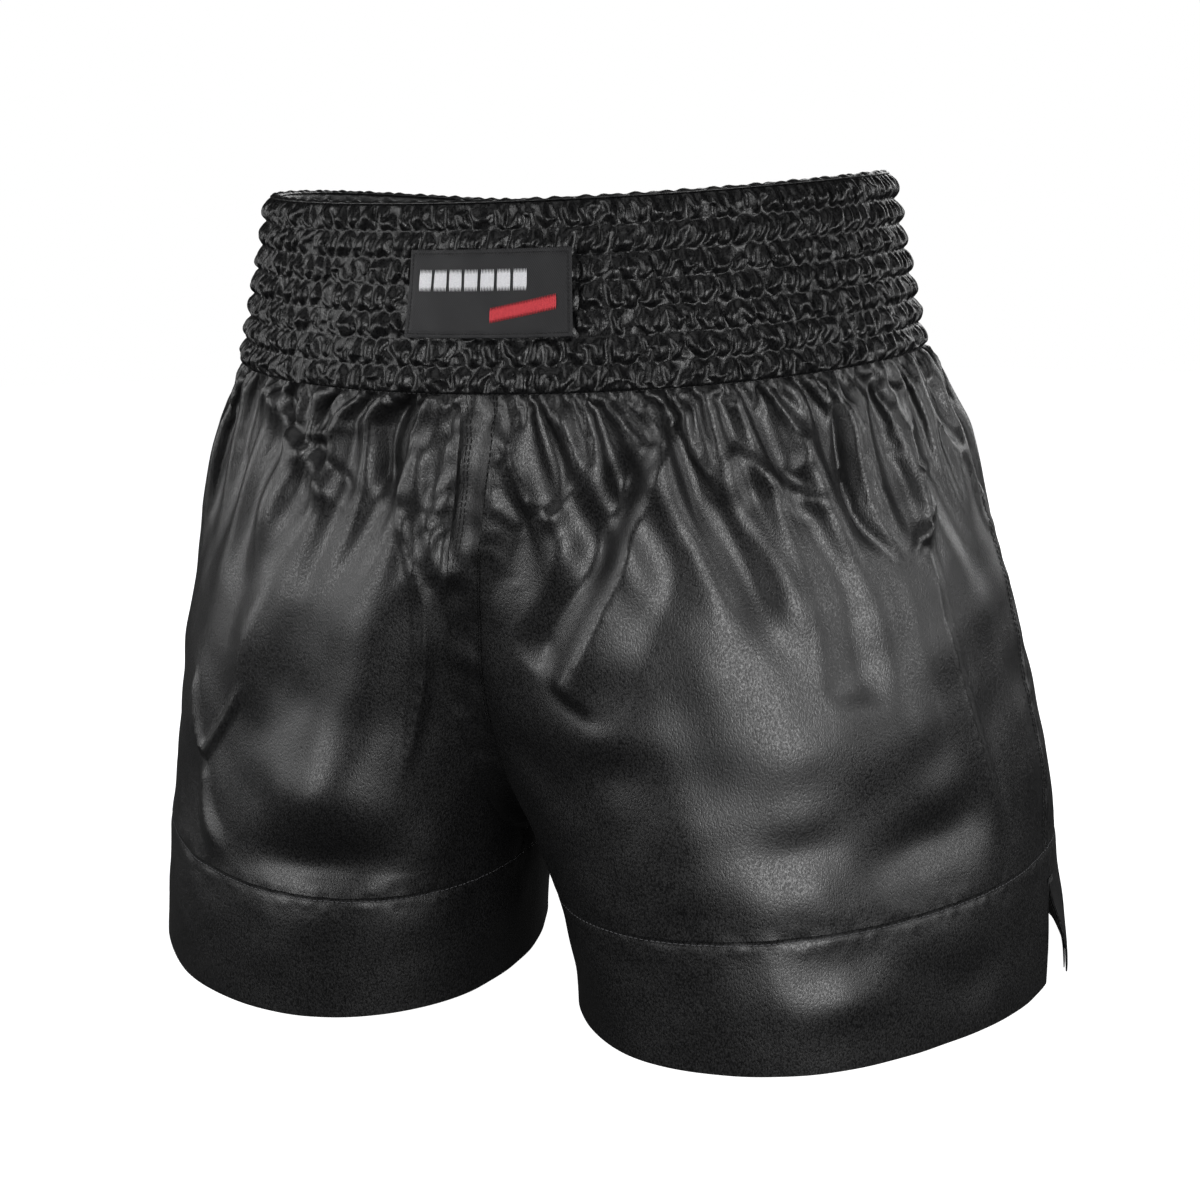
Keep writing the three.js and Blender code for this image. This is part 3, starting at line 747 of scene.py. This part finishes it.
def make_panels():
    for name, side in SIDES:
        angle, z = leg_grid(side)
        shape = dressed(side, angle, z)
        plain = dressed(side, angle, z, folds=PLAIN_FOLDS)
        shape = gather_leg(side, plain) + shape - plain
        cloth = refine(shape)
        LEG_CLOTH[side] = cloth
        seam = 2 * LEG_COLUMNS
        for end, part in (("front", cloth[:seam + 1]), ("back", cloth[seam:])):
            node = f"{end}_panel_{name}"
            piece = sheet_object(f"{node}_satin", part, CLOTH, SATIN, side)
            settle(piece, "satin", node)


def on_leg(side, column, row, proud):
    """Points and normals on a leg's gathered cloth, by places counted on its fine grid."""
    cloth = LEG_CLOTH[side]
    normals = side * grid_normals(cloth, False)
    i = np.clip(np.floor(column).astype(int), 0, cloth.shape[0] - 2)
    j = np.clip(np.floor(row).astype(int), 0, cloth.shape[1] - 2)
    u, v = (column - i)[:, None], (row - j)[:, None]

    def blend(grid):
        return lerp(lerp(grid[i, j], grid[i + 1, j], u), lerp(grid[i, j + 1], grid[i + 1, j + 1], u), v)

    outs = unit(blend(normals))
    return blend(cloth) + outs * proud, outs


STRIP_LAP = 1.2  # how far the centre strip reaches behind the panels beside it


def strip_lines(rows_each):
    """The centre strip's two edges, lapped behind the panels, from the front waist to the back."""
    row = lerp(CROTCH_ROW, 1, np.linspace(0, 1, rows_each) ** 1.6)
    edges = []
    for side in (LEFT, RIGHT):
        lines = []
        for is_front in (True, False):
            angle = inner_edge(is_front, row)
            lines.append(dressed(side, angle, panel_level(side, angle, row)))
        edges.append(np.vstack([lines[0][::-1], lines[1][1:]]))
    lap = -STRIP_LAP / STRIP_WIDTH
    return lerp(edges[0], edges[1], lap), lerp(edges[1], edges[0], lap)


def make_centre():
    rows_each = 90
    left, right = strip_lines(rows_each)
    across = np.linspace(0, 1, 14)
    grid = lerp(left[None], right[None], across[:, None, None])
    normal = grid_normals(grid, False)
    if normal[:, :20, 1].mean() > 0:
        normal = -normal
    edge = np.abs(across * 2 - 1)
    sink = -1.1 - 3.2 * (1 - edge ** 2)
    wobble = 0.7 * soft_noise(grid.reshape(-1, 3), 16, 21).reshape(grid.shape[:2])
    below_waist = (grid[..., 2].max() - grid[..., 2]) / 20
    wobble += 1.1 * soft_noise(grid.reshape(-1, 3), 7, 22).reshape(grid.shape[:2]) * np.exp(-below_waist)
    grid = grid + normal * (sink[:, None] + wobble * (1 - edge ** 4)[:, None])[..., None]
    hand = 1 if np.einsum("ijk,ijk->", grid_normals(grid, False), normal) > 0 else -1
    front_end = int(rows_each * 0.52)
    back_start = 2 * rows_each - 2 - front_end
    for node, first, last in (("centre_front_strip", 0, front_end),
                              ("crotch_gusset", front_end, back_start),
                              ("centre_back_strip", back_start, 2 * rows_each - 2)):
        piece = sheet_object(f"{node}_satin", grid[:, first:last + 1], CLOTH, SATIN, hand)
        settle(piece, "satin", node)
    return grid, normal, front_end, back_start


def vent_edge(z):
    """How far a band's edge lies from the side seam: cut-off corners, then the vent."""
    corner = lerp(14.0, 6.0, np.clip(z / 14.0, 0, 1))
    slot = lerp(6.0, 0.0, np.clip((z - 14.0) / (VENT_HEIGHT - 14.0), 0, 1))
    return np.where(z < 14.0, corner, np.where(z < VENT_HEIGHT, slot, 0.0))


FRONT_CUT, BACK_CUT = 1.3, 0.4  # the front flap is cut back, and the back one lies behind it


def band_grid(is_front, low, inset, columns, rows, top_inset=0.0):
    share = np.linspace(0, 1, rows)
    seam = math.radians(SIDE_SEAM)
    z_seam = lerp(low, float(band_top(seam)) - top_inset, share)
    vent = (vent_edge(z_seam) * (FRONT_CUT if is_front else BACK_CUT) + inset) / SEAM_RADIUS
    inner = inset / INSEAM_RADIUS
    if is_front:
        first, last = np.full(rows, INSEAM + inner), seam - vent
    else:
        first, last = seam + vent, np.full(rows, INSEAM + 2 * math.pi - inner)
    angle = lerp(first[None, :], last[None, :], np.linspace(0, 1, columns)[:, None])
    return angle, lerp(low, band_top(angle) - top_inset, share[None, :])


def make_bands():
    for name, side in SIDES:
        for end, is_front in (("front", True), ("back", False)):
            node = f"hem_band_{end}_{name}"
            angle, z = band_grid(is_front, 0.0, 0.0, 220, 42)
            outer = dressed(side, angle, z)
            piece = sheet_object(f"{node}_satin", outer, 0.8, SATIN, side)
            settle(piece, "satin", node)
            facing = f"hem_facing_{end}_{name}"
            angle, z = band_grid(is_front, 1.4, 1.4, 140, 30, 1.4)
            outer = dressed(side, angle, z, -1.3)
            piece = sheet_object(f"{facing}_satin", outer, 0.5, SATIN, side)
            settle(piece, "satin", facing)


# ---- Stitches ----

def stitch_mesh(name, middles, alongs, outs, length, width, height, material):
    """One object of many small stitches, each a rounded thread lying along its line."""
    ring, rings = 8, 5
    unit_points = []
    for k in range(rings):
        share = k / (rings - 1)
        swell = math.sqrt(max(1 - (2 * share - 1) ** 4, 0.02))
        for m in range(ring):
            turn = 2 * math.pi * m / ring
            unit_points.append(((share - 0.5) * length, 0.5 * width * swell * math.cos(turn),
                                0.5 * height * swell * math.sin(turn)))
    unit_points = np.array(unit_points)
    faces = []
    for k in range(rings - 1):
        for m in range(ring):
            n = (m + 1) % ring
            faces.append((k * ring + m, k * ring + n, (k + 1) * ring + n, (k + 1) * ring + m))
    faces.append(tuple(range(ring - 1, -1, -1)))
    faces.append(tuple((rings - 1) * ring + m for m in range(ring)))
    alongs, outs = unit(alongs), unit(outs)
    sides = unit(np.cross(outs, alongs))
    outs = np.cross(alongs, sides)
    points = (middles[:, None] + unit_points[None, :, :1] * alongs[:, None]
              + unit_points[None, :, 1:2] * sides[:, None] + unit_points[None, :, 2:] * outs[:, None])
    per = len(unit_points)
    all_faces = [tuple(index + s * per for index in face) for s in range(len(middles)) for face in faces]
    return make_object(name, points, all_faces, material)


def along_line(line, normals, spacing):
    """Evenly spaced middles, directions and normals on a line."""
    steps = np.linalg.norm(np.diff(line, axis=0), axis=1)
    reach = np.concatenate([[0], np.cumsum(steps)])
    count = max(int(reach[-1] / spacing), 1)
    spots = (np.arange(count) + 0.5) * reach[-1] / count
    middles = np.stack([np.interp(spots, reach, line[:, k]) for k in range(3)], -1)
    ahead = np.stack([np.interp(spots + 0.8, reach, line[:, k]) for k in range(3)], -1)
    behind = np.stack([np.interp(spots - 0.8, reach, line[:, k]) for k in range(3)], -1)
    outs = np.stack([np.interp(spots, reach, normals[:, k]) for k in range(3)], -1)
    return middles, ahead - behind, outs


def leg_stitches(name, side, angle, z, spacing, length, width, material, proud=0.25):
    line = dressed(side, angle, z, proud)
    normals = leg_normal(side, angle, z)
    middles, alongs, outs = along_line(line, normals, spacing)
    return stitch_mesh(name, middles, alongs, outs, length, width, width * 0.8, material)


def cloth_stitches(name, side, column, first, last):
    """Black stitches up a leg's gathered cloth, at one column of its fine grid."""
    row = np.linspace(first, last, 240)
    line, outs = on_leg(side, column + 0 * row, row, 0.2)
    middles, alongs, outs = along_line(line, outs, 2.8)
    return stitch_mesh(name, middles, alongs, outs, 2.3, 0.42, 0.34, BLACK_THREAD)


def make_leg_stitching():
    seam = math.radians(SIDE_SEAM)
    for name, side in SIDES:
        for end, is_front in (("front", True), ("back", False)):
            node = f"hem_stitching_{end}_{name}"
            angle, _ = band_grid(is_front, 0.0, 1.2, 260, 4)
            angle = angle[:, -1]
            piece = leg_stitches(f"{node}_thread", side, angle, band_top(angle) - 1.8,
                                 2.6, 2.1, 0.42, GREY_THREAD)
            settle(piece, "grey_thread", node)
        last = 2 * LEG_ROWS
        node = f"side_seam_stitching_{name}"
        lines = [cloth_stitches(f"{node}_{k}", side, 2 * LEG_COLUMNS - offset, 1, last - 1)
                 for k, offset in enumerate((2.2, 3.9))]
        settle(join(lines, f"{node}_thread"), "black_thread", node)
        node = f"inseam_stitching_{name}"
        piece = cloth_stitches(f"{node}_thread", side, 2.4, 1, last * CROTCH_ROW * 0.97)
        settle(piece, "black_thread", node)
        node = f"vent_bartack_{name}"
        turns = seam + np.linspace(-4.5, 4.5, 22) / SEAM_RADIUS
        parts = []
        for k, height in enumerate(np.linspace(1.2, 3.4, 5)):
            parts.append(leg_stitches(f"{node}_{k}", side, turns, VENT_HEIGHT + height + 0 * turns,
                                      9.4, 9.0, 0.55, BLACK_THREAD, 0.5))
        settle(join(parts, f"{node}_thread"), "black_thread", node)


def join(parts, name):
    """Joins pieces of one material into one object."""
    points, faces, start = [], [], 0
    for part in parts:
        mesh = part.data
        co = np.empty(len(mesh.vertices) * 3)
        mesh.vertices.foreach_get("co", co)
        points.append(co.reshape(-1, 3) / MM)
        faces += [tuple(v + start for v in face.vertices) for face in mesh.polygons]
        start += len(mesh.vertices)
        material = mesh.materials[0]
    for part in parts:
        bpy.data.objects.remove(part)
    return make_object(name, np.vstack(points), faces, material)


def make_centre_stitching(grid, normal, front_end, back_start):
    for end, first, last in (("front", 0, front_end), ("back", back_start, grid.shape[1] - 1)):
        for name, column in (("left", 2), ("right", grid.shape[0] - 3)):
            node = f"centre_{end}_stitching_{name}"
            parts = []
            for shift in (0, 1):
                inwards = shift if name == "left" else -shift
                line = grid[column + inwards, first:last + 1] + 0.25 * normal[column, first:last + 1]
                middles, alongs, outs = along_line(line, normal[column, first:last + 1], 2.7)
                parts.append(stitch_mesh(f"{node}_{shift}", middles, alongs, outs, 2.2, 0.42, 0.34,
                                         BLACK_THREAD))
            settle(join(parts, f"{node}_thread"), "black_thread", node)


# ---- Waistband ----

WAIST_COLUMNS = 660
ROW_STEPS = 8
CASING_PUFF = 2.9  # how far a row stands proud before it is gathered
GATHER = 1.42  # length of the uncut casing over the ring it is drawn in to
DRAW_FRAMES = 12
CASING_FRAMES = 20
CASING_STIFFNESS = 0.03


def waist_grid(proud_at):
    rows = WAIST_ROWS * ROW_STEPS + 1
    angle = np.linspace(0, 2 * math.pi, WAIST_COLUMNS, endpoint=False)[:, None] + np.zeros((1, rows))
    share = np.linspace(0, 1, rows)[None, :] + 0 * angle
    return angle, share, waist_point(angle, share, proud_at(angle, share))


def casing_cut(angle, share):
    """The casing before it is gathered: a longer ring, with small seeded waves in each row."""
    row = share * WAIST_ROWS
    part = row - np.floor(row)
    number = np.floor(np.minimum(row, WAIST_ROWS - 0.001)).astype(int)
    pick = np.random.default_rng(11)
    wave = np.zeros_like(angle)
    for k in range(WAIST_ROWS):
        value = np.zeros_like(angle)
        for count in (61, 89, 113, 149):
            twist = pick.uniform(-0.5, 0.5)
            phase = pick.uniform(0, 2 * math.pi)
            value += pick.uniform(0.15, 0.4) * np.sin((count + 2 * k) * angle + phase
                                                      + twist * (part - 0.5) * 2 * math.pi)
        wave = np.where(number == k, value, wave)
    return np.sin(np.pi * part) * (CASING_PUFF + wave)


def draw_in(piece, drawn_shape, held, draw_frames, frames, stiffness):
    """Moves the held points in to their final places and lets the rest of the cloth buckle."""
    piece.shape_key_add(name="Basis")
    drawn = piece.shape_key_add(name="drawn_in")
    drawn.data.foreach_set("co", (drawn_shape.reshape(-1, 3) * MM).ravel())
    for number, value in ((1, 0.0), (draw_frames, 1.0)):
        drawn.value = value
        drawn.keyframe_insert("value", frame=number)
    pinned = piece.vertex_groups.new(name="stitched")
    pinned.add(held, 1.0, "REPLACE")
    return run_cloth(piece, "stitched", frames, stiffness)


def gather_casing(piece, gathered):
    rows = WAIST_ROWS * ROW_STEPS + 1
    held = [i * rows + j for i in range(WAIST_COLUMNS) for j in range(0, rows, ROW_STEPS)]
    return draw_in(piece, gathered, held, DRAW_FRAMES, CASING_FRAMES, CASING_STIFFNESS)


def run_cloth(piece, pins, frames, bending):
    cloth = piece.modifiers.new("cloth", "CLOTH")
    settings = cloth.settings
    settings.quality = 5
    settings.mass = 0.1
    settings.tension_stiffness = 15
    settings.compression_stiffness = 15
    settings.shear_stiffness = 4
    settings.bending_stiffness = bending
    settings.tension_damping = 5
    settings.compression_damping = 5
    settings.shear_damping = 5
    settings.bending_damping = 0.5
    settings.air_damping = 1
    settings.vertex_group_mass = pins
    settings.effector_weights.gravity = 0
    cloth.collision_settings.use_collision = False
    cloth.point_cache.frame_start = 1
    cloth.point_cache.frame_end = frames
    scene = bpy.context.scene
    for number in range(1, frames + 1):
        scene.frame_set(number)
    settled = piece.evaluated_get(bpy.context.evaluated_depsgraph_get())
    co = np.empty(len(settled.data.vertices) * 3)
    settled.data.vertices.foreach_get("co", co)
    scene.frame_set(1)
    return co


def keep_outside(points, angle, share):
    """Moves points that sank behind the stitch lines back out, softly."""
    flat = waist_point(angle, share, 0.0)
    outwards = waist_point(angle, share, 1.0) - flat
    outwards[..., 2] = 0
    outwards = unit(outwards)
    proud = ((points - flat) * outwards).sum(-1)
    soft = 0.35 + 0.5 * np.log1p(np.exp(np.clip((proud - 0.35) / 0.5, -30, 30)))
    soft = np.where(proud > 6, proud, soft)
    return points + outwards * (soft - proud)[..., None]


def make_casing():
    angle, share, gathered = waist_grid(casing_cut)
    centre = np.array([0, -WAIST_FORWARD, 0])
    cut = (gathered - centre) * np.array([GATHER, GATHER, 1.0]) + centre
    rough = make_object("casing_rough", cut, grid_faces(*cut.shape[:2], True), SATIN)
    co = gather_casing(rough, gathered)
    bpy.data.objects.remove(rough)
    gathered = co.reshape(cut.shape) / MM
    outer = keep_outside(gathered, angle, share)
    inner = waist_point(angle, share, -0.9)
    # the casing takes the dimmer copy of the satin, whose lower gloss is painted shade
    piece = sheet_object("waistband_outer_satin", outer, 1.0, SATIN_DIMMED_AS_SHADE, 1, True, inner)
    smoother = piece.modifiers.new("smoother", "SUBSURF")
    smoother.levels = smoother.render_levels = 1
    settle(piece, "satin", "waistband_outer_casing")


def make_inner_casing():
    columns, rows = 440, WAIST_ROWS * 6 + 1
    angle = np.linspace(0, 2 * math.pi, columns, endpoint=False)[:, None] + np.zeros((1, rows))
    share = np.linspace(0, 1, rows)[None, :] + 0 * angle
    part = share * WAIST_ROWS % 1.0
    bulge = np.sin(np.pi * part) * (0.9 + 0.5 * np.sin(61 * angle + 3 * np.sin(9 * share * math.pi))
                                    + 0.35 * np.sin(97 * angle + 5 * share))
    inner = waist_point(angle, share, -3.4 - bulge)
    outer = waist_point(angle, share, -2.9)
    piece = sheet_object("waistband_inner_satin", outer, 0.5, SATIN, 1, True, inner)
    settle(piece, "satin", "waistband_inner_casing")


def make_top_edge():
    """The fold of satin that closes the casing over the top elastic."""
    columns = 880
    angle = np.linspace(0, 2 * math.pi, columns, endpoint=False)
    turns = np.linspace(0, math.pi, 9)
    rim = []
    for turn in turns:
        ripple = 0.35 * np.sin(83 * angle + 2 * turn) + 0.3 * np.sin(131 * angle + 1.0)
        proud = -1.55 + 2.15 * math.cos(turn)
        point = waist_point(angle, 1.0, proud)
        point[:, 2] += (0.8 + ripple) * math.sin(turn) - 0.2
        rim.append(point)
    grid = np.stack(rim, 1)
    piece = sheet_object("waistband_top_fold", grid, 0.5, SATIN, -1, True)
    return settle(piece, "satin")


def make_waist_stitching():
    angle = np.linspace(0, 2 * math.pi, WAIST_COLUMNS, endpoint=False)
    for row in range(WAIST_ROWS):
        node = f"casing_stitch_row_{WAIST_ROWS - row}" if row else "waist_seam_stitching"
        line = waist_point(angle, row / WAIST_ROWS, 0.75)
        normals = waist_point(angle, row / WAIST_ROWS, 2.0) - line
        line = np.vstack([line, line[:1]])
        normals = np.vstack([normals, normals[:1]])
        middles, alongs, outs = along_line(line, normals, 2.4)
        piece = stitch_mesh(f"{node}_thread", middles, alongs, outs, 1.9, 0.45, 0.4, BLACK_THREAD)
        settle(piece, "black_thread", node)


# ---- Label ----

LABEL_WIDTH, LABEL_HEIGHT = 71.0, 34.5
LABEL_LOW = BAND_HEIGHT - 18.0 - LABEL_HEIGHT
LABEL_SHIFT = 3.0
MID_HALF_WIDTH = (SEAM_HALF_WIDTH + TOP_HALF_WIDTH) / 2


def label_point(across, up, proud):
    """A point on the label: millimetres to the wearer's left, and above its lower edge."""
    angle = (across + LABEL_SHIFT) / MID_HALF_WIDTH
    ripple = 0.35 * np.sin(across / 7.0) * np.cos(up / 9.0) + 0.25 * np.sin(across / 3.4 + up / 6.0)
    return waist_point(angle, (LABEL_LOW + up) / BAND_HEIGHT, proud + ripple)


def make_label():
    columns, rows = 90, 46
    across = np.linspace(-0.5, 0.5, columns)[:, None] * LABEL_WIDTH
    up = np.linspace(0, 1, rows)[None, :] * LABEL_HEIGHT
    edge = np.minimum(LABEL_WIDTH / 2 - np.abs(across), np.minimum(up, LABEL_HEIGHT - up))
    stitched = -0.4 * np.exp(-((edge - 1.6) / 0.8) ** 2) - 0.5 * smooth(1 - edge / 0.8)
    wavy = 0.25 * np.sin(across / 1.9) * np.exp(-edge / 3.0)
    outer = label_point(across, up, 4.6 + stitched + wavy)
    piece = sheet_object("front_label_twill", outer, 0.9, TWILL, 1)
    settle(piece, "label_twill", "front_label")
    inset = 1.6
    corner_x, low, high = LABEL_WIDTH / 2 - inset, inset, LABEL_HEIGHT - inset
    ring = [(-corner_x, low), (corner_x, low), (corner_x, high), (-corner_x, high), (-corner_x, low)]
    parts = []
    for k in range(4):
        ends = np.array(ring[k:k + 2])
        run = lerp(ends[0], ends[1], np.linspace(0, 1, 60)[:, None])
        line = label_point(run[:, 0], run[:, 1], 4.45)
        outs = label_point(run[:, 0], run[:, 1], 6.0) - line
        middles, alongs, outs = along_line(line, outs, 1.7)
        parts.append(stitch_mesh(f"label_edge_{k}", middles, alongs, outs, 1.35, 0.42, 0.4, BLACK_THREAD))
    settle(join(parts, "label_edge_thread"), "black_thread", "label_edge_stitching")
    make_bar("label_white_bar", WHITE_THREAD, "white_thread", -6.5, 18.0, 47.0, 9.0, 0.0, 7)
    make_bar("label_red_bar", RED_THREAD, "red_thread", 15.5, 8.0, 27.0, 6.5, 5.0)


def make_bar(node, material, slot, middle, low, width, height, slant, blocks=1):
    """A satin-stitched bar or row of blocks: close upright threads, so its face has their ribs."""
    spacing, gap = 0.62, 1.3
    block = (width - gap * (blocks - 1)) / blocks
    count = int(block / spacing)
    first = np.arange(blocks)[:, None] * (block + gap)
    across = (first + (np.arange(count) + 0.5)[None, :] / count * block).ravel() - width / 2
    up = low + slant * across / width
    lower = label_point(middle + across, up, 4.85)
    upper = label_point(middle + across, up + height, 4.85)
    outs = label_point(middle + across, up, 6.5) - lower
    piece = stitch_mesh(f"{node}_thread", (lower + upper) / 2, upper - lower, outs, height, 0.72, 0.62,
                        material)
    settle(piece, slot, node)


def make_care_label():
    columns, rows = 30, 24
    across = np.linspace(-13, 13, columns)[:, None]
    up = np.linspace(0, 1, rows)[None, :]
    angle = math.pi + across / MID_HALF_WIDTH
    low = BAND_HEIGHT - ROW_HEIGHT - 20.0
    bend = 0.9 * np.sin(np.pi * (1 - up)) + 0.25 * np.sin(across / 4.0)
    grid = waist_point(angle, (low + 20.0 * up) / BAND_HEIGHT, -6.2 - bend * (1 - up))
    piece = sheet_object("care_label_blank", grid, 0.3, WHITE_THREAD, 1)
    settle(piece, "white_thread", "blank_care_label")


# ---- Build ----

LEG_CLOTH = {}
make_panels()
strip, strip_normals, strip_front_end, strip_back_start = make_centre()
make_centre_stitching(strip, strip_normals, strip_front_end, strip_back_start)
make_bands()
make_leg_stitching()
make_casing()
make_inner_casing()
top_fold = make_top_edge()
make_waist_stitching()
make_label()
make_care_label()
for number in range(1, WAIST_ROWS + 1):
    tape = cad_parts[f"elastic_tape_{number}"]
    tape.data.materials.clear()
    tape.data.materials.append(ELASTIC)


# ---- Stage, lights and camera ----

def softbox(name, azimuth, elevation, distance, width, height, power):
    """A soft light round the shorts: azimuth 0 is in front of them and 90 is at their left."""
    turn, rise = math.radians(azimuth), math.radians(elevation)
    target = Vector((0, 0, 0.19))
    away = Vector((math.sin(turn) * math.cos(rise), -math.cos(turn) * math.cos(rise), math.sin(rise)))
    data = bpy.data.lights.new(name, "AREA")
    data.shape = "RECTANGLE"
    data.size, data.size_y = width, height
    data.energy = power
    light = bpy.data.objects.new(name, data)
    light.location = target + away * distance
    light.rotation_euler = (-away).to_track_quat("-Z", "Y").to_euler()
    bpy.context.scene.collection.objects.link(light)


def make_stage():
    """A pale floor, and a studio that is white behind and dimmer around."""
    radius, count = 3.0, 96
    turns = [2 * math.pi * k / count for k in range(count)]
    corners = [(radius * math.cos(turn), radius * math.sin(turn), 0) for turn in turns]
    floor_mesh = bpy.data.meshes.new("floor")
    floor_mesh.from_pydata(corners, [], [tuple(range(count))])
    material, _, shader = new_material("pale_floor", (0.8, 0.8, 0.8), 0.9)
    shader.inputs["Emission Color"].default_value = (1, 1, 1, 1)
    shader.inputs["Emission Strength"].default_value = 1.0
    floor_mesh.materials.append(material)
    floor = bpy.data.objects.new("floor", floor_mesh)
    floor.location.z = -0.0006
    # black satin shows only the softboxes, so the bright floor neither lights it nor shows in it
    floor.visible_glossy = False
    floor.visible_diffuse = False
    bpy.context.scene.collection.objects.link(floor)
    world = bpy.data.worlds.new("studio")
    world.use_nodes = True
    bpy.context.scene.world = world
    tree = world.node_tree
    around = tree.nodes["Background"]
    around.inputs["Color"].default_value = (1, 1, 1, 1)
    around.inputs["Strength"].default_value = 0.02
    behind = add_node(tree, "ShaderNodeBackground", Color=(1, 1, 1, 1), Strength=1.0)
    seen = add_node(tree, "ShaderNodeLightPath")
    either = add_node(tree, "ShaderNodeMixShader")
    tree.links.new(seen.outputs["Is Camera Ray"], either.inputs["Fac"])
    tree.links.new(around.outputs["Background"], either.inputs[1])
    tree.links.new(behind.outputs["Background"], either.inputs[2])
    tree.links.new(either.outputs["Shader"], tree.nodes["World Output"].inputs["Surface"])
    bpy.context.scene.view_settings.view_transform = "Standard"


# from a fit to the photograph's outline, with the height and pitch then changed
CAMERA_PLACE = (0.2962, -0.8329, 0.3645)  # metres
HEADING, PITCH, ROLL = 18.956, 12.42, 0.722
LENS = 56.06


def make_camera():
    """The camera stands where the fitted view puts it, and rolls a little."""
    heading, pitch, roll = (math.radians(value) for value in (HEADING, PITCH, ROLL))
    ahead = Vector((-math.sin(heading) * math.cos(pitch), math.cos(heading) * math.cos(pitch),
                    -math.sin(pitch)))
    level = Vector((math.cos(heading), math.sin(heading), 0))
    up = level.cross(ahead)
    right = level * math.cos(roll) - up * math.sin(roll)
    top = up * math.cos(roll) + level * math.sin(roll)
    data = bpy.data.cameras.new("camera")
    data.lens = LENS
    data.sensor_width = 36.0
    camera = bpy.data.objects.new("camera", data)
    camera.matrix_world = Matrix((
        (right.x, top.x, -ahead.x, CAMERA_PLACE[0]),
        (right.y, top.y, -ahead.y, CAMERA_PLACE[1]),
        (right.z, top.z, -ahead.z, CAMERA_PLACE[2]),
        (0, 0, 0, 1),
    ))
    bpy.context.scene.collection.objects.link(camera)
    bpy.context.scene.camera = camera


make_stage()
# directions and powers were chosen from a fit to the photograph's tones, then rounded and changed
softbox("front_left", 41, 5, 1.5, 0.6, 0.6, 11)
softbox("front_right", -31, 9, 1.5, 0.6, 0.6, 6.5)
softbox("left", 90, 10, 1.5, 0.6, 0.6, 5)
softbox("right", -80, 10, 1.5, 0.6, 0.6, 4)
softbox("upper_right", -50, 25, 1.5, 0.6, 0.6, 3)
softbox("top", 10, 70, 1.5, 0.8, 0.8, 2)
softbox("back", 180, 25, 1.6, 1.0, 0.7, 9)
softbox("back_left", 140, 15, 1.5, 0.6, 0.6, 4)
make_camera()
